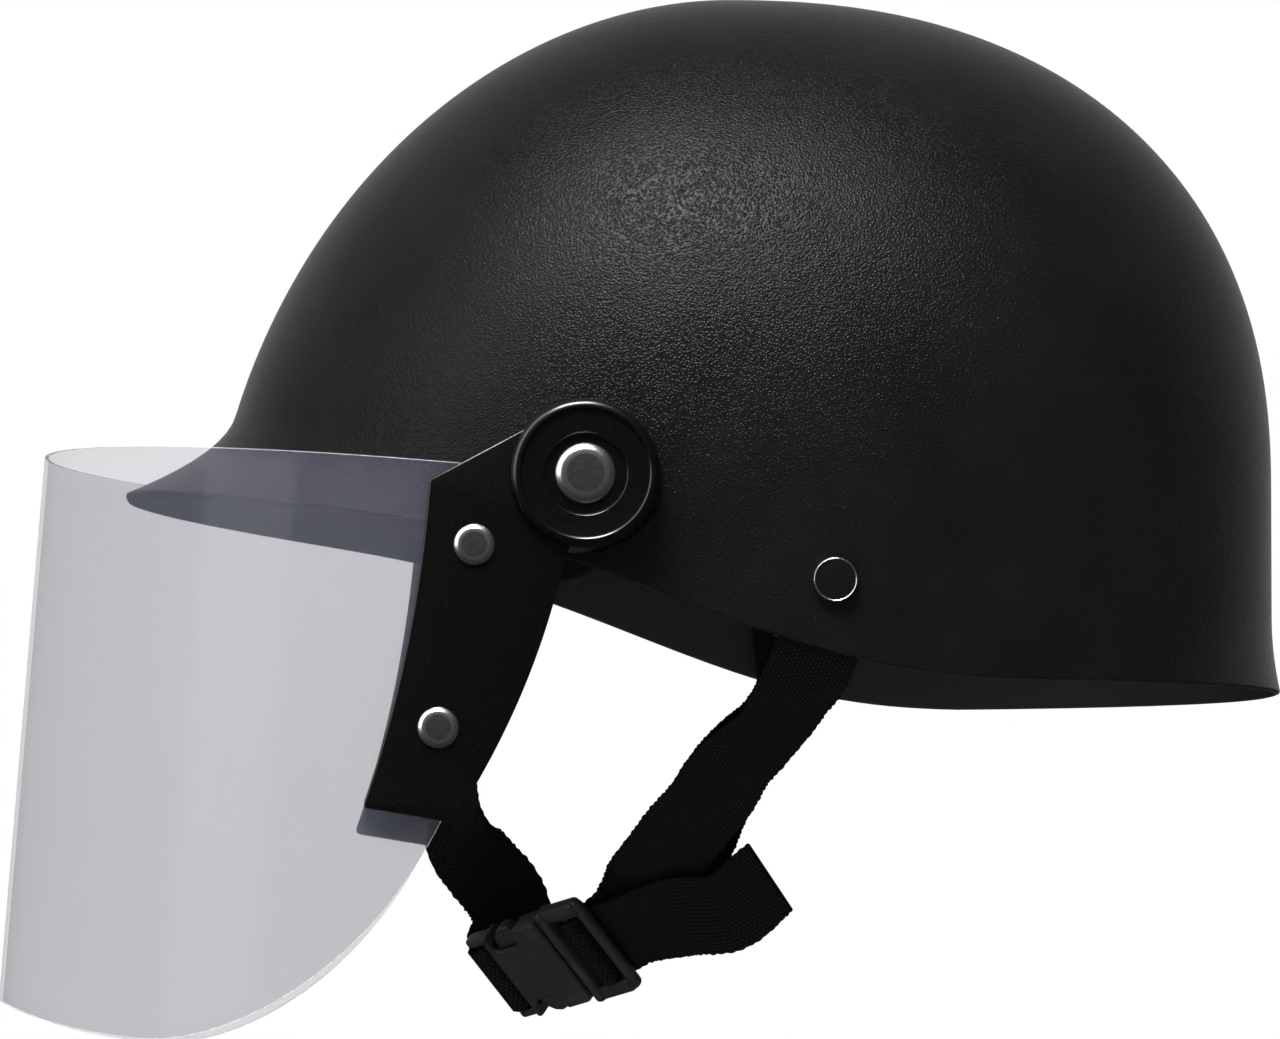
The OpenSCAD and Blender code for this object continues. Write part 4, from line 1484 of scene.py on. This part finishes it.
@dataclass(frozen=True)
class ChinStrap:
    """The webbing: the left run with its tail, and the right run with its tail."""

    mount: StrapMount = field(default_factory=StrapMount)
    lean: float = -14.0
    far_lean: float = 4.0
    clip_bar: float = 19.4
    clip_mid: float = 13.8
    clip_wrap: float = 2.3
    under: float = -2.5
    socket_bar: float = -16.4
    socket_bar_n: float = -0.3
    socket_wrap: float = 2.9
    give: Triple = (50.0, -14.5, -37.1)

    def top(self, lean: float) -> list[Stop]:
        """Gives the stops behind the shell's wall, on the left."""
        a, mount = math.radians(lean), self.mount
        downs = [(d * math.sin(a), d * math.cos(a)) for d in (-9.0, 0.0, 9.0, 16.0)]
        return [(np.array((mount.strap_x, mount.y + dy, mount.z - dz)), level(lean)) for dy, dz in downs]

    def turn(self, u: float, n: float, radius: float, angle: float) -> Stop:
        """Gives a stop round a bar of the buckle."""
        a = math.radians(angle)
        return BUCKLE.place(u + radius * math.cos(a), n + radius * math.sin(a)), -BUCKLE.axes[1]

    def at(self, x: float, y: float, z: float, angle: float, lean: float = 0.0) -> Stop:
        """Gives a stop in the air."""
        return np.array((x, y, z)), level(angle, lean)

    def left(self) -> tuple[Stop, ...]:
        """Gives the left run, from the shell to the clip."""
        across = -BUCKLE.axes[1]
        stops = self.top(self.lean) + [
            self.at(97, 11.9, -2.1, -2), self.at(92.8, 9.35, -6.2, 4),
            self.at(88.5, 6.8, -10.2, 8), self.at(83.2, 2, -15, -1.5),
            self.at(78, -2.8, -19.8, -13), self.at(65, -7.5, -27.4, -32),
            self.at(50, -15.2, -37.1, -38), self.at(38, -21.8, -46, -42, -0.2),
        ]
        below = self.under - 1.7
        for u, n, v in (
            (self.clip_bar + 8.0, -3.0, 3.6), (self.clip_bar + 3.4, -0.8, 1.8), (self.clip_bar, -0.2, 0.5),
            (self.clip_mid + 1.2, 0.0, 0.0), (self.clip_mid - 1.0, 0.8, 0.0),
        ):
            stops.append((BUCKLE.place(u, below + n, v), across))
        return tuple(stops + [self.turn(self.clip_mid, 0.0, self.clip_wrap, a) for a in range(200, -1, -40)])

    def tail(self) -> tuple[Stop, ...]:
        """Gives the left run's free end."""
        across, start = -BUCKLE.axes[1], self.clip_mid + self.clip_wrap
        return (
            (BUCKLE.place(start, -0.02), across),
            (BUCKLE.place(start + 0.9, (self.under - 0.3) * 0.7), across),
            (BUCKLE.place(self.clip_bar, self.under), across),
            (BUCKLE.place(self.clip_bar + 4.5, self.under + 0.1), across),
            self.at(44.5, -13.5, -54.5, -75, -0.2),
            self.at(54, -3.1, -53.6, -72, -0.1),
            self.at(63.5, 6.6, -45.6, -68),
        )

    def right(self) -> tuple[Stop, ...]:
        """Gives the right run, from the shell round the socket's bar to its free end."""
        across, bar, wrap = -BUCKLE.axes[1], self.socket_bar, self.socket_wrap
        stops = [(p * np.array((-1, 1, 1)), w) for p, w in self.top(self.far_lean)]
        stops += [
            self.at(-95, 17.4, -0.5, -8), self.at(-85, 11.4, -6.5, -16),
            self.at(-70, 3.2, -15, -24), self.at(-56, -1.9, -24.5, -30),
            self.at(-38, -8.5, -37.5, -36), self.at(-22, -16.5, -50, -45), self.at(-8, -33, -61, -60),
            (BUCKLE.place(bar + wrap, -7), across), (BUCKLE.place(bar + wrap, -3), across),
        ]
        stops += [self.turn(bar, self.socket_bar_n, wrap, a) for a in range(0, 181, 36)]
        stops += [
            (BUCKLE.place(bar - wrap, -4), across),
            self.at(-8.5, -54.5, -61.5, -30), self.at(-10.5, -52.3, -55.2, 8),
            self.at(-11.3, -54.3, -48.6, 36), self.at(-11.3, -60, -41.6, 41),
            self.at(-11, -64.2, -36, 39, 0.35), self.at(-10, -66, -29, 38, 1.2),
            self.at(-9.5, -67.5, -19, 38, 1.2), self.at(-9, -69, -9, 38, 1.2),
        ]
        return tuple(stops)

    def build(self) -> None:
        """Builds the three lengths of webbing."""
        left = Strip(self.left()).form().piece("webbing_left")
        dress(left, None, [WEBBING], "strap_left")
        start, end = np.array(self.give) * METRE, BUCKLE.place(self.clip_bar + 2.6, self.under + 0.5) * METRE
        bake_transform(left)
        dress(Strip(self.tail()).form().piece("webbing_left_tail"), Body.CLIP, [WEBBING], "strap_left_tail")
        dress(Strip(self.right()).form().piece("webbing_right"), Body.STRAP, [WEBBING], "strap_right")


@dataclass(frozen=True)
class Buckle:
    """The side-release buckle: a socket, a clip and its two prongs."""

    back: float = -12.0
    mouth: float = 6.4
    width: float = 25.0
    thick: float = 7.0
    cavity: float = 4.4
    collar: float = 19.8
    waist: float = 16.0
    bar: float = -16.4
    bar_n: float = -0.3
    bar_radius: float = 1.5
    bar_half: float = 12.2
    windows: Pair = (-10.5, -1.5)
    cavity_back: float = -10.8
    cheek_thick: float = 2.0
    cheek_middle: float = 11.3
    clip_width: float = 28.0
    clip_thick: float = 5.4
    shoulder: Pair = (6.7, 9.6)
    frame: Pair = (8.2, 20.8)
    frame_thick: float = 2.8
    slots: tuple[Pair, ...] = ((9.3, 12.6), (15.0, 18.0))
    slot_half: float = 10.3
    rail: Pair = (8.0, 19.6)
    guide: Pair = (-8.0, 7.7)
    guide_width: float = 4.4
    guide_thick: float = 2.6
    pin: Pair = (4.9, 7.4)
    pin_radius: float = 1.5
    barb: float = -1.8
    prong_thick: float = 3.6

    @staticmethod
    def slab(name: str, span: Pair, width: float, thick: float, radius: float, edge: float) -> bpy.types.Mesh:
        """Cuts a rounded slab.

        Args:
            name: The mesh's name.
            span: Its ends along u.
            width: Its width along v.
            thick: Its thickness along n.
            radius: Radius of its corners.
            edge: Radius of its edges.

        Returns:
            The mesh, in metres.
        """
        a, b, h = span[0], span[1], width / 2.0
        outline = rounded([(a, -h, radius), (b, -h, radius), (b, h, radius), (a, h, radius)])
        return stamp(name, [outline], thick, edge, BUCKLE.matrix())

    def rod(self) -> bpy.types.Mesh:
        """Makes the strap bar, with domed ends."""
        angles = np.linspace(0.0, 2.0 * math.pi, 32, endpoint=False)
        rows, half = [], self.bar_half
        for v, share in ((half, 0.02), (half, 0.7), (half - 0.3, 1.0)):
            r = self.bar_radius * share
            rows.append([(self.bar + r * math.cos(a), self.bar_n + r * math.sin(a), -v) for a in angles])
        rows += [[(u, w, -v) for u, w, v in row] for row in rows[::-1]]
        form = Form()
        form.grid(np.array([[BUCKLE.place(*p) for p in row] for row in rows]), ring=True)
        return bare(form.piece("rod"))

    def socket(self) -> None:
        """Builds the socket: a hollow housing waisted by its side windows, and a strap bar."""
        h, w, (low, high) = self.width / 2, self.waist / 2, self.windows
        upper = [(low, h, 0.5), (low + 0.7, w, 1.6), (high - 0.7, w, 1.6), (high, h, 0.5)]
        half = [(self.back, h, 1.6), *upper, (self.mouth, h, 1.6)]
        mirror = [(u, -v, r) for u, v, r in half[::-1]]
        outline = rounded([mirror[-1], *half, *mirror[:-1]])
        body = settle(stamp("socket_body", [outline], self.thick, 0.8, BUCKLE.matrix()), "socket_body")
        span = (self.cavity_back, self.mouth + 3.0)
        hollow = settle(self.slab("hollow", span, self.collar, self.cavity, 0.8, 0.3), "hollow")
        parts = [carve(body, hollow)]
        root, end, deep = self.back + 1.0, self.bar - 2.1, 2.1
        cheek = rounded([(end, -deep, 1.9), (root, -deep, 0.0), (root, deep, 0.0), (end, deep, 1.9)])
        u, v, n = BUCKLE.axes
        for side in (-1, 1):
            at = BUCKLE.place(0.0, 0.0, side * self.cheek_middle)
            place = Matrix([[u[i], n[i], -v[i], at[i]] for i in range(3)] + [[0, 0, 0, 1]])
            parts.append(stamp("cheek", [cheek], self.cheek_thick, 0.45, place))
        parts.append(self.rod())
        dress(moulding("buckle_socket_housing", parts), Body.STRAP, [ACETAL], "buckle_socket")

    def clip(self) -> None:
        """Builds the clip: a shoulder, a frame with a middle bar and an end bar, and a guide tongue."""
        h, wide = self.clip_width / 2, self.slot_half
        parts = [self.slab("shoulder", self.shoulder, self.clip_width, self.clip_thick, 1.3, 0.9)]
        a, b = self.frame
        outlines = [rounded([(a, -h, 0.6), (b, -h, 2.4), (b, h, 2.4), (a, h, 0.6)])]
        for a, b in self.slots:
            outlines.append(rounded([(a, -wide, 0.8), (b, -wide, 0.8), (b, wide, 0.8), (a, wide, 0.8)]))
        parts.append(stamp("frame", outlines, self.frame_thick, 1.0, BUCKLE.matrix()))
        a, b = self.rail
        for side in (-1, 1):
            rail = [(a, wide, 0.3), (b, wide, 0.3), (b, h, 1.6), (a, h, 0.4)][::side]
            outline = rounded([(u, side * v, r) for u, v, r in rail])
            parts.append(stamp("rail", [outline], self.clip_thick - 1.0, 1.1, BUCKLE.matrix()))
        parts.append(self.slab("guide", self.guide, self.guide_width, self.guide_thick, 1.2, 0.5))
        dress(moulding("buckle_clip_frame", parts), Body.CLIP, [ACETAL], "buckle_clip")

    def prong(self, name: str, body: Body, flip: float) -> None:
        """Builds a release prong.

        Args:
            name: The CAD node that it stands for.
            body: The body that it rides on.
            flip: 1 for the upper prong, -1 for the lower one.
        """
        (pin_u, pin_v), pin_r, barb = self.pin, self.pin_radius, self.barb
        leg_out, button_out = self.collar / 2 - 0.4, self.width / 2 + 0.9
        leg_in, tip = leg_out - 2.6, self.cavity_back + 1.0
        corners = [
            (pin_u + pin_r, pin_v - pin_r, 1.2), (pin_u + pin_r, pin_v + pin_r, 1.2), (pin_u - 2, leg_out, 0.5),
            (barb, leg_out, 0.2), (barb, leg_out + 1.7, 0.4), (barb - 1.6, button_out - 0.4, 0.8),
            (barb - 3.4, button_out, 1.0), (barb - 5.4, button_out - 0.6, 1.0),
            (barb - 7.2, button_out - 2.4, 0.8), (tip, leg_in + 1.4, 0.8), (tip, leg_in, 0.4),
            (barb - 4, leg_in + 1, 0.0), (barb, leg_in, 0.5), (pin_u - 2.5, leg_in - 0.8, 0.5),
        ]
        outline = rounded([(u, v * flip, r) for u, v, r in corners])
        mesh = stamp(name, [outline], self.prong_thick, 0.5, BUCKLE.matrix())
        dress(settle(mesh, name + "_moulding"), body, [ACETAL], name)

    def build(self) -> None:
        """Builds the buckle's four pieces."""
        self.socket()
        self.clip()
        self.prong("release_prong_upper", Body.PRONG_UPPER, 1.0)
        self.prong("release_prong_lower", Body.PRONG_LOWER, -1.0)


# The studio


@dataclass(frozen=True)
class Studio:
    """Camera, soft lamps and a pale floor."""

    target: Triple = (0.0, -21.8, 42.4)
    distance: float = 2500.0
    azimuth: float = -2.0
    elevation: float = -3.2
    span: float = 310.3
    floor: float = -330.0
    floor_half: float = 3000.0
    fill: float = 0.44
    dim: float = 0.042
    glare: float = 0.35

    def camera(self) -> None:
        """Sets the camera at the photograph's angle."""
        lens = bpy.data.cameras.new("camera")
        lens.sensor_width = 36.0
        lens.lens = self.distance * 36.0 / self.span
        lens.clip_start, lens.clip_end = 0.1, 50.0
        holder = bpy.data.objects.new("camera", lens)
        bpy.context.scene.collection.objects.link(holder)
        a, e = math.radians(self.azimuth), math.radians(self.elevation)
        away = Vector((math.cos(e) * math.cos(a), math.cos(e) * math.sin(a), math.sin(e)))
        holder.location = (Vector(self.target) + away * self.distance) * METRE
        holder.rotation_euler = away.to_track_quat("Z", "Y").to_euler()
        bpy.context.scene.camera = holder

    def lamp(self, name: str, place: Triple, size: Pair, power: float, mirrored: bool = True) -> None:
        """Adds a soft lamp that faces the helmet.

        Args:
            name: Its name.
            place: Its place, in metres.
            size: Its sides, in metres.
            power: Its power, in watts.
            mirrored: Whether glossy surfaces show it.
        """
        light = bpy.data.lights.new(name, "AREA")
        light.shape, light.size, light.size_y, light.energy = "RECTANGLE", size[0], size[1], power
        holder = bpy.data.objects.new(name, light)
        bpy.context.scene.collection.objects.link(holder)
        holder.location, holder.visible_glossy = place, mirrored
        holder.rotation_euler = (Vector(place) - Vector(self.target) * METRE).to_track_quat("Z", "Y").to_euler()

    def surroundings(self) -> None:
        """Makes the world: plain light on the object, white behind it.

        Mirror-like surfaces see the pale backdrop too, but it ends beside the camera and at the
        level of the table, and the studio behind the camera is dim.
        """
        world = bpy.data.worlds.new("surroundings")
        graph = Graph(world)
        camera, through, glossy = (
            graph.make("ShaderNodeLightPath", output=ray)
            for ray in ("Is Camera Ray", "Is Transmission Ray", "Is Glossy Ray")
        )
        way = graph.make("ShaderNodeTexCoord")
        x, z = (graph.make("ShaderNodeSeparateXYZ", values={0: way}, output=axis) for axis in "XZ")
        backdrop = (1.0 - x.between(-0.7, -0.15)) * z.between(-0.08, 0.06) * self.glare + self.dim
        soft = glossy * backdrop + (1.0 - glossy) * self.fill
        light = {"Color": (1.0, 1.0, 1.0, 1.0), "Strength": camera.most(through).most(soft)}
        graph.close(graph.make("ShaderNodeBackground", values=light), "ShaderNodeOutputWorld")
        bpy.context.scene.world = world

    def ground(self) -> None:
        """Adds the floor, well under the helmet, which hangs as in the photograph."""
        form = Form()
        ends = (-self.floor_half, self.floor_half)
        form.grid(np.array([[(x, y, self.floor) for x in ends] for y in ends]))
        piece = form.piece("floor")
        piece.data.materials.append(PALE_FLOOR.material())
        piece.visible_glossy = False

    def build(self) -> None:
        """Builds the studio."""
        self.camera()
        self.surroundings()
        self.ground()
        self.lamp("key", (0.85, -0.22, 1.5), (0.75, 0.5), 68.0)
        self.lamp("brow", (0.6, -1.2, 0.75), (0.9, 1.7), 16.0)
        self.lamp("back", (-1.4, 0.8, 1.1), (1.4, 1.4), 12.0, mirrored=False)


def main() -> None:
    """Builds the studio and every piece of the helmet, in order."""
    logging.basicConfig(level=logging.INFO, format="%(message)s")
    Studio().build()
    bpy.context.scene.view_settings.view_transform = "Standard"
    SHELL.build()
    for pad in PADS:
        pad.build()
    Visor().build()
    for side in Side:
        Arm().build(side)
    Fasteners().build()
    ChinStrap().build()
    Buckle().build()


if __name__ == "__main__":
    main()
